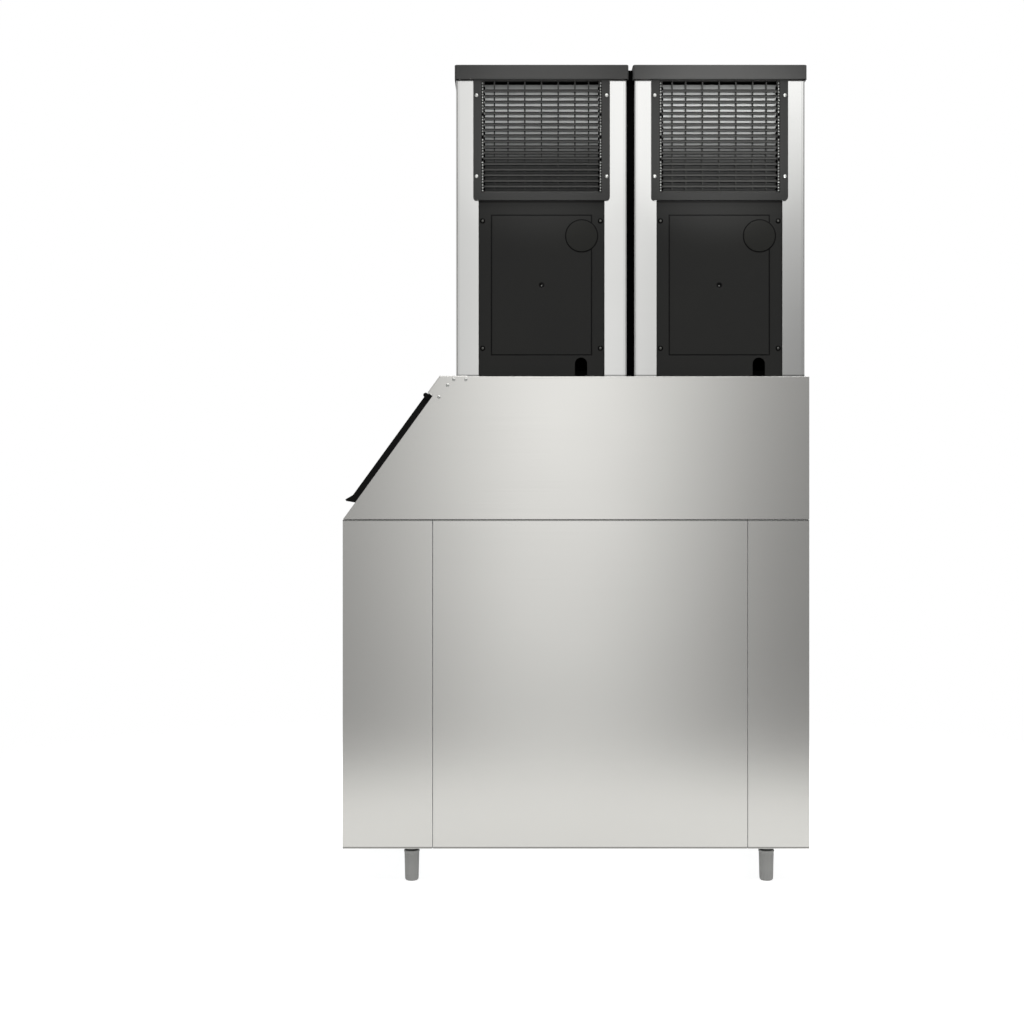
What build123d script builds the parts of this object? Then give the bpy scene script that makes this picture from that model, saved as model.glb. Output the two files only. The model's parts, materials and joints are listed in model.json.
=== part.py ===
from build123d import *
import math
import os

# Ice machine: two air-cooled ice-making heads side by side on a tall insulated ice bin.
# Millimetres. Z is up and the floor is Z = 0. The bin's door looks to -X, and the service
# side of the heads looks to -Y. The origin is on the floor, under the middle of the bin.

# Bin, outside
bin_length = 1500.0
bin_width = 762.0
leg_height = 112.0
cabinet_height = 1058.0
hopper_height = 460.0
slope_angle = 54.0
panel_depth = 12.0
bin_sheet = 1.5
seam = 2.0
front_side_panel_length = 289.0
rear_side_panel_length = 198.0

# Insulated tub inside the bin
tub_wall = 40.0
tub_floor = 45.0
tub_corner = 20.0

# Base frame and legs
frame_height = 40.0
frame_rail = 45.0
frame_sheet = 3.0
leg_from_front = 219.0
leg_from_rear = 130.0
leg_inset = 48.0
leg_top_radius = 25.5
leg_foot_radius = 22.0
leg_foot_round = 5.0
leg_collar_height = 12.0
leg_collar_step = 1.2
stud_radius = 8.0
stud_length = 34.0
thread_clearance = 0.3
boss_radius = 20.0

# Drain in the tub floor
drain_from_rear = 240.0
drain_bore_radius = 13.0
drain_pipe_radius = 19.0
drain_flange_radius = 32.0
drain_flange_height = 4.0
drain_nut_radius = 30.0
drain_nut_height = 12.0
drain_drop = 28.0
drain_clearance = 0.3

# Door on the slope, with its hinge at the top
hinge_from_top = 87.5
hinge_height = 21.0
door_gap = 2.0
door_thickness = 20.0
door_drop = 414.5
door_back_overlap = 6.0
barrel_radius = 7.7
rod_radius = 3.0
rod_clearance = 0.3
rod_press_clearance = 0.1
lip_start = 15.5
lip_reach = 13.0
lip_rise = 11.5
lip_tip = 5.4
gasket_recess = 4.0
gasket_width = 12.0
gasket_lift = 0.3
door_opening_top = 34.0
door_opening_bottom = 380.0
door_side_overlap = 41.0
opening_corner = 8.0
bracket_thickness = 7.0
bracket_clearance = 0.5
bracket_foot = 9.0

# Cap over the hinge side of the hopper
nose_height = 19.5
nose_sheet = 2.5
nose_lower_end = 10.0
cap_end_from_front = 358.0
cap_tab_end_from_front = 401.0
cap_tab_width = 13.5

# Ice-making heads
head_width = 551.0
head_far_gap = 56.0
head_height = 958.0
head_setback = 16.0
head_pitch = 574.0
first_head_from_front = 639.5
head_sheet = 1.5
head_corner = 5.0
strip_width = 72.5
strip_fold = 8.5
rabbet_width = 23.0
front_return = 20.0

# Lid of a head
lid_height = 46.0
lid_side_overhang = 4.5
lid_end_overhang = 12.0
lid_wall = 3.0
lid_corner = 8.0
lid_edge = 2.0

# Louvred grille of a head
grille_width = 440.0
grille_bottom = 569.0
grille_top = 966.0
grille_proud = 8.0
grille_wall = 2.5
grille_corner = 10.0
opening_width = 387.0
opening_bottom = 593.0
opening_top = 954.5
grille_well = 17.5
ledge_recess = 5.0
ledge_sheet = 2.0
ledge_reach = 9.5
slat_pitch = 18.1
top_slat = 918.0
slat_width = 365.0
slat_recess = 3.0
slat_depth = 10.0
slat_rise = 9.5
slat_thickness = 2.0
end_bar_offset = 152.0
bar_offsets = (-108.0, -54.0, 0.0, 54.0, 108.0)
bar_width = 4.5
bar_depth = 4.0
bar_clearance = 0.3
end_bar_bite = 0.5
grille_screw_spread = 209.5
grille_screw_low = 645.0
grille_screw_high = 906.0

# Service panel of a head
panel_recess = 4.0
panel_sheet = 3.0
panel_side_clearance = 0.5
panel_bottom = 1.0
panel_top = 585.0
field_width = 327.0
field_bottom = 69.5
field_top = 524.5
groove_width = 4.0
groove_depth = 1.6
panel_screw_spread = 190.0
panel_screw_low = 93.0
panel_screw_high = 504.0
port_x = 129.5
port_height = 456.0
port_radius = 50.0
port_thickness = 1.5
port_boss_radius = 14.0
port_boss_length = 8.0
port_clearance = 0.3
centre_hole_radius = 5.0
centre_dish_radius = 9.0
centre_dish_depth = 1.2
slot_x = 127.5
slot_width = 39.5
slot_height = 63.0

# Base pan and front panel of a head
pan_sheet = 2.0
pan_height = 20.0
pan_clearance = 0.5
pan_rear_gap = 9.0
front_panel_depth = 8.0
front_panel_bottom = 2.0
front_panel_top = 970.0

# Chute that drops the ice through head, deck and tub
chute_width = 380.0
chute_depth = 180.0
chute_from_front = 35.0

# Condenser, shroud and fan of a head
condenser_gap = 28.0
condenser_depth = 45.0
condenser_width = 384.0
condenser_bottom = 586.0
condenser_top = 949.0
tube_plate = 2.0
core_recess = 3.0
bend_count = 9
bend_length = 32.0
bend_width = 9.0
bend_reach = 8.0
bend_chamfer = 3.0
shroud_sheet = 2.0
shroud_bottom = 575.0
shroud_top = 960.0
shroud_flange = 60.0
side_clearance = 0.3
fan_centre = 767.5
fan_radius = 148.0
fan_tip_clearance = 8.0
bell_length = 30.0
bell_wall = 3.0
fan_setback = 8.0
fan_hub_radius = 38.0
fan_hub_length = 24.0
fan_blades = 5
blade_chord = 46.0
blade_sheet = 2.5
blade_pitch = 28.0
blade_corner = 10.0
blade_root = 12.0
shaft_radius = 5.0
shaft_clearance = 0.3
motor_radius = 45.0
motor_length = 70.0
motor_gap = 6.0
motor_chamfer = 6.0
strut_width = 14.0
strut_depth = 8.0
motor_ring_wall = 6.0
motor_ring_length = 16.0
motor_clearance = 0.3

# Bulkhead, evaporator, trough and curtain of a head
bulkhead_from_rear = 385.0
bulkhead_flange = 20.0
bulkhead_notch = 2.5
bulkhead_top = 950.0
evaporator_width = 360.0
evaporator_height = 420.0
evaporator_bottom = 420.0
evaporator_depth = 26.0
cell_columns = 6
cell_rows = 7
cell_wall = 5.0
cell_depth = 20.0
ear_thickness = 4.0
ear_reach = 92.0
ear_height = 40.0
trough_width = 400.0
trough_depth = 78.0
trough_height = 60.0
trough_bottom = 330.0
trough_wall = 3.0
trough_corner = 12.0
curtain_width = 350.0
curtain_thickness = 4.0
curtain_drop = 470.0
curtain_barrel_radius = 7.0
curtain_pin_radius = 3.0
curtain_pin_clearance = 0.3
curtain_pin_length = 10.0
curtain_rib_height = 3.0
curtain_rib_width = 8.0
curtain_rib_margin = 14.0
curtain_rib_count = 4

# Compressor of a head
compressor_x = -60.0
compressor_from_rear = 175.0
compressor_radius = 82.0
compressor_height = 240.0
compressor_lift = 18.0
compressor_dome = 45.0
compressor_crown_radius = 45.0
compressor_foot = 210.0
compressor_foot_sheet = 3.0
compressor_mount_radius = 14.0
compressor_mount_spread = 80.0
compressor_pipe_radius = 6.0
compressor_pipe_reach = 30.0

# Screws
screw_head_radius = 5.5
screw_head_height = 2.6
screw_shank_radius = 2.0
screw_shank_length = 6.0
screw_hole_clearance = 0.4
side_screw_offsets = (
    (22.8, -10.0),
    (61.8, -10.0),
    (2.8, -28.5),
    (-25.2, -67.0),
)

# Places worked out from the sizes above
slope = math.radians(slope_angle)
half_length = bin_length / 2
half_width = bin_width / 2
slope_top_x = -half_length + hopper_height / math.tan(slope)
frame_top = leg_height + frame_height
cabinet_top = leg_height + cabinet_height
bin_top = cabinet_top + hopper_height
inner_half_width = half_width - panel_depth
door_width = 2 * (inner_half_width - bracket_thickness - 2 * bracket_clearance)
door_opening_width = door_width - 2 * door_side_overlap
tub_top = bin_top - panel_depth
head_bottom = bin_top
head_rear = -half_width + head_setback
head_depth = bin_width - head_setback - head_far_gap
head_front = head_rear + head_depth
chute_far = head_front - chute_from_front
chute_near = chute_far - chute_depth
bulkhead_y = head_rear + bulkhead_from_rear
compressor_y = head_rear + compressor_from_rear
lid_bottom = head_bottom + head_height
lid_ceiling = lid_bottom + lid_height - lid_wall
slat_count = int((top_slat - opening_bottom + slat_rise) / slat_pitch) + 1
first_head_x = first_head_from_front - half_length
leg_places = [
    (x, y)
    for x in (leg_from_front - half_length, half_length - leg_from_rear)
    for y in (leg_inset - half_width, half_width - leg_inset)
]


def slope_point(run, height):
    """X and Z at a run down the slope from the hinge and a height above the slope's face."""
    down = hinge_from_top + run
    return (
        slope_top_x - down * math.cos(slope) - height * math.sin(slope),
        bin_top - down * math.sin(slope) + height * math.cos(slope),
    )


def slope_at(z, height):
    """X and Z where a line at a height above the slope's face passes a level z."""
    face_x = -half_length + (z - cabinet_top) / math.tan(slope)
    return (face_x - height / math.sin(slope), z)


def front_mitre(depth):
    """X and Z where the vertical front and the slope meet, both set back by a depth."""
    x = -half_length + depth
    rise = (depth - depth / math.sin(slope)) * math.tan(slope)
    return (x, cabinet_top + rise)


side_screw_places = [(slope_top_x + x, bin_top + z) for x, z in side_screw_offsets]
hinge_x, hinge_z = slope_point(0, hinge_height)
foot_x, foot_z = slope_point(0, 0)
slope_plane = Plane(
    origin=(foot_x, 0, foot_z),
    x_dir=(0, 1, 0),
    z_dir=(-math.sin(slope), 0, math.cos(slope)),
)
hinge_line = Plane(origin=(hinge_x, 0, hinge_z), x_dir=(1, 0, 0), z_dir=(0, 1, 0))


def outermost(builder, direction):
    """The flat face that lies furthest in a direction."""
    return builder.faces().filter_by(GeomType.PLANE).sort_by(Axis((0, 0, 0), direction))[-1]


def rear_plane(y):
    """A plane that looks to the service side: its X is the object's X, its Y is up."""
    return Plane(origin=(0, y, head_bottom), x_dir=(1, 0, 0), z_dir=(0, -1, 0))


def save(part, name):
    part.label = name
    export_step(part, f"parts/{name}.step")


# Base frame: folded channels under the tub, with a threaded boss over each leg
def make_base_frame():
    length = bin_length - 2 * panel_depth
    width = bin_width - 2 * panel_depth
    with BuildPart() as base_frame:
        with BuildSketch(Plane.XY.offset(leg_height)):
            Rectangle(length, width)
            Rectangle(length - 2 * frame_rail, width - 2 * frame_rail, mode=Mode.SUBTRACT)
            for x in sorted({place[0] for place in leg_places}):
                with Locations((x, 0)):
                    Rectangle(frame_rail, width - frame_rail)
        extrude(amount=frame_height)
        offset(amount=-frame_sheet, openings=outermost(base_frame, (0, 0, -1)))
        with BuildSketch(Plane.XY.offset(leg_height)):
            with Locations(*leg_places):
                Circle(boss_radius)
                Circle(stud_radius + thread_clearance, mode=Mode.SUBTRACT)
        extrude(amount=frame_height - frame_sheet)
    return base_frame.part


# Leg: a tapered moulding with a collar, screwed up into the base frame by its stud
def make_leg(place):
    with BuildPart() as leg:
        with BuildSketch(Plane(origin=(*place, 0), x_dir=(1, 0, 0), z_dir=(0, -1, 0))):
            with BuildLine():
                Polyline(
                    (0, 0),
                    (leg_foot_radius - leg_foot_round, 0),
                    (leg_foot_radius, leg_foot_round),
                    (leg_top_radius - leg_collar_step, leg_height - leg_collar_height),
                    (leg_top_radius, leg_height - leg_collar_height),
                    (leg_top_radius, leg_height),
                    (stud_radius, leg_height),
                    (stud_radius, leg_height + stud_length),
                    (0, leg_height + stud_length),
                    close=True,
                )
            make_face()
        revolve(axis=Axis((*place, 0), (0, 0, 1)))
    return leg.part


# Tub: the insulated store, one moulding with a chute under each head and a mouth in the slope
def make_bin_tub():
    wall = panel_depth + tub_wall
    with BuildPart() as bin_tub:
        with BuildSketch(Plane.XZ):
            with BuildLine():
                Polyline(
                    (panel_depth - half_length, frame_top),
                    front_mitre(panel_depth),
                    slope_at(tub_top, -panel_depth),
                    (half_length - panel_depth, tub_top),
                    (half_length - panel_depth, frame_top),
                    close=True,
                )
            make_face()
        extrude(amount=inner_half_width, both=True)
        with BuildSketch(Plane.XZ) as store:
            with BuildLine():
                Polyline(
                    (wall - half_length, frame_top + tub_floor),
                    front_mitre(wall),
                    slope_at(tub_top - tub_wall, -wall),
                    (half_length - wall, tub_top - tub_wall),
                    (half_length - wall, frame_top + tub_floor),
                    close=True,
                )
            make_face()
            fillet(store.vertices(), radius=tub_corner)
        extrude(amount=inner_half_width - tub_wall, both=True, mode=Mode.SUBTRACT)
        with BuildSketch(Plane.XY.offset(tub_top)):
            chute_windows()
        extrude(amount=-tub_wall, mode=Mode.SUBTRACT)
        with BuildSketch(slope_plane):
            door_mouth()
        extrude(amount=-2 * wall, mode=Mode.SUBTRACT)
        with BuildSketch(Plane.XY.offset(frame_top)):
            with Locations((half_length - drain_from_rear, 0)):
                Circle(drain_pipe_radius + drain_clearance)
        extrude(amount=tub_floor, mode=Mode.SUBTRACT)
    return bin_tub.part


def chute_windows():
    """The two chutes that the ice falls through, drawn from above."""
    for x in (first_head_x, first_head_x + head_pitch):
        with Locations((x, (chute_near + chute_far) / 2)):
            Rectangle(chute_width, chute_far - chute_near)


def door_mouth():
    """The mouth that the door covers, drawn on the slope."""
    with Locations((0, (door_opening_top + door_opening_bottom) / 2)):
        RectangleRounded(
            door_opening_width, door_opening_bottom - door_opening_top, opening_corner
        )


# Folded panel: a flat sheet with its edges folded back, drawn on the plane of its face
def make_side_tray(points, side, holes=()):
    face = Plane(origin=(0, side * half_width, 0), x_dir=(1, 0, 0), z_dir=(0, -1, 0))
    with BuildPart() as tray:
        with BuildSketch(face):
            with BuildLine():
                Polyline(*points, close=True)
            make_face()
        extrude(amount=side * panel_depth)
        offset(amount=-bin_sheet, openings=outermost(tray, (0, -side, 0)))
        if holes:
            with BuildSketch(face):
                with Locations(*holes):
                    Circle(screw_shank_radius + screw_hole_clearance)
            extrude(amount=side * panel_depth, mode=Mode.SUBTRACT)
    return tray.part


# Hopper side: the trapezoid that carries the nose of the hinge cap
def hopper_side_outline():
    bottom = cabinet_top + seam / 2
    ear = nose_height - nose_sheet
    step = -nose_lower_end - nose_sheet
    return [
        slope_at(bottom, 0),
        slope_point(step, 0),
        slope_point(step, ear),
        slope_at(bin_top, ear),
        (half_length, bin_top),
        (half_length, bottom),
    ]


# Cabinet sides: three folded panels with narrow joints between them
def cabinet_side_outlines():
    front_joint = front_side_panel_length - half_length
    rear_joint = half_length - rear_side_panel_length
    spans = {
        "front": (-half_length, front_joint - seam / 2),
        "middle": (front_joint + seam / 2, rear_joint - seam / 2),
        "rear": (rear_joint + seam / 2, half_length),
    }
    top = cabinet_top - seam / 2
    return {
        name: [(x0, leg_height), (x0, top), (x1, top), (x1, leg_height)]
        for name, (x0, x1) in spans.items()
    }


# Cross panel: a folded sheet between the two sides, drawn as its section along the bin
def make_cross_tray(section, inward, width, windows=None):
    with BuildPart() as tray:
        with BuildSketch(Plane.XZ):
            with BuildLine():
                Polyline(*section, close=True)
            make_face()
        extrude(amount=width / 2, both=True)
        if windows:
            with BuildSketch(windows[0]):
                windows[1]()
            extrude(amount=-2 * panel_depth, mode=Mode.SUBTRACT)
        offset(amount=-bin_sheet, openings=outermost(tray, inward))
    return tray.part


def make_front_panel():
    outer = front_mitre(0)
    inner = front_mitre(panel_depth)
    section = [
        (outer[0], leg_height),
        (outer[0], outer[1] - seam),
        (inner[0], inner[1] - seam),
        (inner[0], leg_height),
    ]
    return make_cross_tray(section, (1, 0, 0), 2 * inner_half_width)


def make_slope_frame():
    section = [
        front_mitre(0),
        slope_at(bin_top, 0),
        slope_at(tub_top, -panel_depth),
        front_mitre(panel_depth),
    ]
    inward = (math.sin(slope), 0, -math.cos(slope))
    return make_cross_tray(section, inward, 2 * inner_half_width, (slope_plane, door_mouth))


def make_top_deck():
    outer = slope_at(bin_top, 0)
    inner = slope_at(tub_top, -panel_depth)
    section = [
        (outer[0] + seam, outer[1]),
        (half_length - panel_depth, bin_top),
        (half_length - panel_depth, tub_top),
        (inner[0] + seam, inner[1]),
    ]
    above = Plane.XY.offset(bin_top)
    return make_cross_tray(section, (0, 0, -1), 2 * inner_half_width, (above, chute_windows))


def make_rear_panel():
    section = [
        (half_length, leg_height),
        (half_length, bin_top),
        (half_length - panel_depth, bin_top),
        (half_length - panel_depth, leg_height),
    ]
    return make_cross_tray(section, (-1, 0, 0), 2 * inner_half_width)


# Hinge cap: a folded sheet over the top of the slope, with a tab beside the first head
def make_hinge_cap():
    inner = nose_height - nose_sheet
    cap_end = cap_end_from_front - half_length
    tab_end = cap_tab_end_from_front - half_length
    with BuildPart() as hinge_cap:
        with BuildSketch(Plane.XZ):
            with BuildLine():
                Polyline(
                    (cap_end, bin_top + nose_sheet),
                    slope_at(bin_top + nose_sheet, nose_height),
                    slope_point(-nose_lower_end, nose_height),
                    slope_point(-nose_lower_end, 0),
                    slope_point(-nose_lower_end - nose_sheet, 0),
                    slope_point(-nose_lower_end - nose_sheet, inner),
                    slope_at(bin_top, inner),
                    (cap_end, bin_top),
                    close=True,
                )
            make_face()
        extrude(amount=half_width, both=True)
        with BuildSketch(Plane.XY.offset(bin_top)):
            for y in (cap_tab_width / 2 - half_width, half_width - cap_tab_width / 2):
                with Locations(((cap_end + tab_end) / 2, y)):
                    Rectangle(tab_end - cap_end, cap_tab_width)
        extrude(amount=nose_sheet)
    return hinge_cap.part


# Door: a foamed leaf with a rolled barrel along its top and a flared lip to lift it by
def make_door():
    outer = door_gap + door_thickness
    with BuildPart() as door:
        with BuildSketch(Plane.XZ):
            with BuildLine():
                Polyline(
                    slope_point(-door_back_overlap, door_gap),
                    slope_point(door_drop, door_gap),
                    slope_point(door_drop + lip_reach, outer + lip_rise - lip_tip),
                    slope_point(door_drop + lip_reach - lip_tip / 2, outer + lip_rise),
                    slope_point(door_drop - lip_start, outer),
                    slope_point(0, outer),
                    slope_point(-door_back_overlap, hinge_height),
                    close=True,
                )
            make_face()
            with Locations((hinge_x, hinge_z)):
                Circle(barrel_radius)
                Circle(rod_radius + rod_clearance, mode=Mode.SUBTRACT)
        extrude(amount=door_width / 2, both=True)
        with BuildSketch(slope_plane.offset(door_gap)):
            gasket_field(gasket_width + gasket_lift)
        extrude(amount=gasket_recess, mode=Mode.SUBTRACT)
    return door.part


def gasket_field(margin):
    """The mouth of the slope, grown by a margin."""
    with Locations((0, (door_opening_top + door_opening_bottom) / 2)):
        RectangleRounded(
            door_opening_width + 2 * margin,
            door_opening_bottom - door_opening_top + 2 * margin,
            opening_corner + margin,
        )


# Door gasket: a soft ring in the back of the door, around the mouth
def make_door_gasket():
    with BuildPart() as door_gasket:
        with BuildSketch(slope_plane.offset(gasket_lift)):
            gasket_field(gasket_width)
            with Locations((0, (door_opening_top + door_opening_bottom) / 2)):
                RectangleRounded(
                    door_opening_width + 2 * gasket_lift,
                    door_opening_bottom - door_opening_top + 2 * gasket_lift,
                    opening_corner,
                    mode=Mode.SUBTRACT,
                )
        extrude(amount=door_gap + gasket_recess - gasket_lift)
    return door_gasket.part


# Hinge rod through the door's barrel, and the two brackets that hold its ends
def make_hinge_rod():
    length = door_width + 2 * (bracket_clearance + bracket_thickness)
    with BuildPart() as hinge_rod:
        with BuildSketch(hinge_line):
            Circle(rod_radius)
        extrude(amount=length / 2, both=True)
    return hinge_rod.part


def make_hinge_brackets():
    with BuildPart() as hinge_brackets:
        for side in (-1, 1):
            inner = side * (door_width / 2 + bracket_clearance)
            with BuildSketch(Plane(origin=(0, inner, 0), x_dir=(1, 0, 0), z_dir=(0, -1, 0))):
                with BuildLine():
                    Polyline(
                        slope_point(-bracket_foot, 0),
                        slope_point(bracket_foot, 0),
                        slope_point(barrel_radius, hinge_height),
                        slope_point(-barrel_radius, hinge_height),
                        close=True,
                    )
                make_face()
                with Locations((hinge_x, hinge_z)):
                    Circle(barrel_radius)
                    Circle(rod_radius + rod_press_clearance, mode=Mode.SUBTRACT)
            extrude(amount=-side * bracket_thickness)
    return hinge_brackets.part


# Drain: a flanged outlet through the tub floor, with its nut below
def make_drain():
    floor = frame_top + tub_floor
    bottom = frame_top - drain_drop
    x = half_length - drain_from_rear
    with BuildPart() as drain:
        with BuildSketch(Plane(origin=(x, 0, 0), x_dir=(1, 0, 0), z_dir=(0, -1, 0))):
            with BuildLine():
                Polyline(
                    (drain_bore_radius, bottom),
                    (drain_pipe_radius, bottom),
                    (drain_pipe_radius, frame_top - drain_nut_height),
                    (drain_nut_radius, frame_top - drain_nut_height),
                    (drain_nut_radius, frame_top),
                    (drain_pipe_radius, frame_top),
                    (drain_pipe_radius, floor),
                    (drain_flange_radius, floor),
                    (drain_flange_radius, floor + drain_flange_height),
                    (drain_bore_radius, floor + drain_flange_height),
                    close=True,
                )
            make_face()
        revolve(axis=Axis((x, 0, 0), (0, 0, 1)))
    return drain.part


# Screw: a low hexagonal head on a short shank, on a plane that looks out of the surface
def make_screw(plane):
    with BuildPart() as screw:
        with BuildSketch(plane):
            RegularPolygon(screw_head_radius, 6)
        extrude(amount=screw_head_height)
        with BuildSketch(plane):
            Circle(screw_shank_radius)
        extrude(amount=-screw_shank_length)
    return screw.part


def service_side_planes(y, spread, levels):
    """Planes that look to the service side, at four places on each head."""
    return [
        Plane(origin=(head_x + x, y, head_bottom + z), x_dir=(1, 0, 0), z_dir=(0, -1, 0))
        for head_x in (first_head_x, first_head_x + head_pitch)
        for x in (-spread, spread)
        for z in levels
    ]


def make_bright_screws():
    planes = service_side_planes(
        head_rear - grille_proud, grille_screw_spread, (grille_screw_low, grille_screw_high)
    )
    for side in (-1, 1):
        for x, z in side_screw_places:
            place = (x, side * half_width, z)
            planes.append(Plane(origin=place, x_dir=(1, 0, 0), z_dir=(0, side, 0)))
    return Part() + [make_screw(plane) for plane in planes]


def make_panel_screws():
    planes = service_side_planes(
        head_rear + panel_recess, panel_screw_spread, (panel_screw_low, panel_screw_high)
    )
    return Part() + [make_screw(plane) for plane in planes]


# The pieces of a head are drawn about X = 0 and placed once for each head.


# Lid: a moulded tray turned over the top of the head
def make_lid():
    length = head_depth + 2 * lid_end_overhang
    with BuildPart() as lid:
        with BuildSketch(Plane.XY.offset(lid_bottom)):
            with Locations((0, head_rear + head_depth / 2)):
                RectangleRounded(head_width + 2 * lid_side_overhang, length, lid_corner)
        extrude(amount=lid_height)
        fillet(lid.faces().sort_by(Axis.Z)[-1].edges(), radius=lid_edge)
        offset(amount=-lid_wall, openings=outermost(lid, (0, 0, -1)))
    return lid.part


# Side panel: one folded sheet with the wide strip at the rear, its rabbet and a front return
def make_head_side():
    half = head_width / 2
    outer_x = -half + strip_width / 2
    middle_y = head_rear + head_depth / 2
    inner_edge = strip_width - half
    rabbet_y = head_rear + strip_fold
    with BuildPart() as head_side:
        with BuildSketch(Plane.XY.offset(head_bottom)) as sheet:
            with Locations((outer_x, middle_y)):
                Rectangle(strip_width, head_depth)
            fillet(sheet.vertices().group_by(Axis.X)[0], radius=head_corner)
            with BuildSketch(mode=Mode.SUBTRACT) as hollow:
                with Locations((outer_x + head_sheet, middle_y)):
                    Rectangle(strip_width, head_depth - 2 * head_sheet)
                fillet(hollow.vertices().group_by(Axis.X)[0], radius=head_corner - head_sheet)
            with Locations((inner_edge, head_front)):
                Rectangle(
                    2 * (strip_width - front_return), 4 * head_sheet, mode=Mode.SUBTRACT
                )
            with Locations((inner_edge - head_sheet / 2, head_rear + strip_fold / 2)):
                Rectangle(head_sheet, strip_fold)
        extrude(amount=lid_ceiling - head_bottom)
        with BuildSketch(Plane.XY.offset(head_bottom)):
            with Locations((inner_edge + rabbet_width / 2 - head_sheet, rabbet_y)):
                Rectangle(rabbet_width, head_sheet, align=(Align.CENTER, Align.MAX))
        extrude(amount=panel_top)
        with BuildSketch(rear_plane(rabbet_y)):
            with Locations(
                (-panel_screw_spread, panel_screw_low), (-panel_screw_spread, panel_screw_high)
            ):
                Circle(screw_shank_radius + screw_hole_clearance)
        extrude(amount=head_sheet, mode=Mode.SUBTRACT)
        with BuildSketch(rear_plane(head_rear + head_sheet)):
            with Locations(
                (-grille_screw_spread, grille_screw_low),
                (-grille_screw_spread, grille_screw_high),
            ):
                Circle(screw_shank_radius + screw_hole_clearance)
        extrude(amount=head_sheet, mode=Mode.SUBTRACT)
    return head_side.part


# Grille: a moulded frame with a deep well, and sloping slats carried by upright bars
def make_grille():
    face_y = head_rear - grille_proud
    height = grille_top - grille_bottom
    middle = (opening_bottom + opening_top) / 2
    opening_height = opening_top - opening_bottom
    slat_y = face_y + slat_recess
    bar_y = slat_y + slat_depth
    with BuildPart() as grille:
        with BuildSketch(rear_plane(head_rear)) as outline:
            with Locations((0, grille_bottom + height / 2)):
                Rectangle(grille_width, height)
            fillet(outline.vertices().group_by(Axis.Z)[0], radius=grille_corner)
        extrude(amount=grille_proud)
        offset(amount=-grille_wall, openings=outermost(grille, (0, 1, 0)))
        with BuildSketch(rear_plane(face_y)):
            with Locations((0, middle)):
                Rectangle(opening_width + 2 * grille_wall, opening_height + 2 * grille_wall)
        extrude(amount=-grille_well)
        with BuildSketch(rear_plane(face_y)):
            with Locations((0, middle)):
                Rectangle(opening_width, opening_height)
        extrude(amount=-grille_well, mode=Mode.SUBTRACT)
        with BuildSketch(rear_plane(face_y + ledge_recess)):
            for x in (ledge_reach / 2 - opening_width / 2, opening_width / 2 - ledge_reach / 2):
                with Locations((x, middle)):
                    Rectangle(ledge_reach, opening_height)
        extrude(amount=-ledge_sheet)
        for start, offsets in (
            (bar_y + bar_clearance, bar_offsets),
            (bar_y - end_bar_bite, (-end_bar_offset, end_bar_offset)),
        ):
            with BuildSketch(rear_plane(start)):
                for x in offsets:
                    with Locations((x, middle)):
                        Rectangle(bar_width, opening_height)
            extrude(amount=-bar_depth)
        with BuildSketch(Plane.YZ):
            for number in range(slat_count):
                low = head_bottom + top_slat - number * slat_pitch
                with BuildLine():
                    Polyline(
                        (slat_y, low),
                        (slat_y + slat_depth, low + slat_rise),
                        (slat_y + slat_depth, low + slat_rise + slat_thickness),
                        (slat_y, low + slat_thickness),
                        close=True,
                    )
                make_face()
        extrude(amount=slat_width / 2, both=True)
        with BuildSketch(rear_plane(face_y)):
            with GridLocations(2 * grille_screw_spread, grille_screw_high - grille_screw_low, 2, 2):
                with Locations((0, (grille_screw_high + grille_screw_low) / 2)):
                    Circle(screw_shank_radius + screw_hole_clearance)
        extrude(amount=-grille_wall, mode=Mode.SUBTRACT)
    return grille.part


# Service panel: a sheet in the rabbet with a grooved field, a hose slot and a dished hole
def make_service_panel():
    face_y = head_rear + panel_recess
    width = head_width - 2 * strip_width - 2 * panel_side_clearance
    field_middle = (field_bottom + field_top) / 2
    field_height = field_top - field_bottom
    with BuildPart() as service_panel:
        with BuildSketch(rear_plane(face_y)):
            with Locations((0, (panel_bottom + panel_top) / 2)):
                Rectangle(width, panel_top - panel_bottom)
            with Locations((slot_x, 0)):
                Rectangle(
                    slot_width,
                    2 * (slot_height - slot_width / 2),
                    mode=Mode.SUBTRACT,
                )
            with Locations((slot_x, slot_height - slot_width / 2)):
                Circle(slot_width / 2, mode=Mode.SUBTRACT)
            with Locations((0, field_middle)):
                Circle(centre_hole_radius, mode=Mode.SUBTRACT)
            with Locations((port_x, port_height)):
                Circle(port_boss_radius + port_clearance, mode=Mode.SUBTRACT)
            for x in (-panel_screw_spread, panel_screw_spread):
                for z in (panel_screw_low, panel_screw_high):
                    with Locations((x, z)):
                        Circle(screw_shank_radius + screw_hole_clearance, mode=Mode.SUBTRACT)
        extrude(amount=-panel_sheet)
        with BuildSketch(rear_plane(face_y)):
            with Locations((0, field_middle)):
                Rectangle(field_width, field_height)
                Rectangle(
                    field_width - 2 * groove_width,
                    field_height - 2 * groove_width,
                    mode=Mode.SUBTRACT,
                )
        extrude(amount=-groove_depth, mode=Mode.SUBTRACT)
        with BuildSketch(rear_plane(face_y)):
            with Locations((0, field_middle)):
                Circle(centre_dish_radius)
        extrude(amount=-centre_dish_depth, mode=Mode.SUBTRACT)
    return service_panel.part


# Port cover: a round plate with a short plug, over the spare pipe hole
def make_port_cover():
    with BuildPart() as port_cover:
        with BuildSketch(rear_plane(head_rear + panel_recess)):
            with Locations((port_x, port_height)):
                Circle(port_radius)
        extrude(amount=port_thickness)
        with BuildSketch(rear_plane(head_rear + panel_recess)):
            with Locations((port_x, port_height)):
                Circle(port_boss_radius)
        extrude(amount=-port_boss_length)
    return port_cover.part


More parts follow.
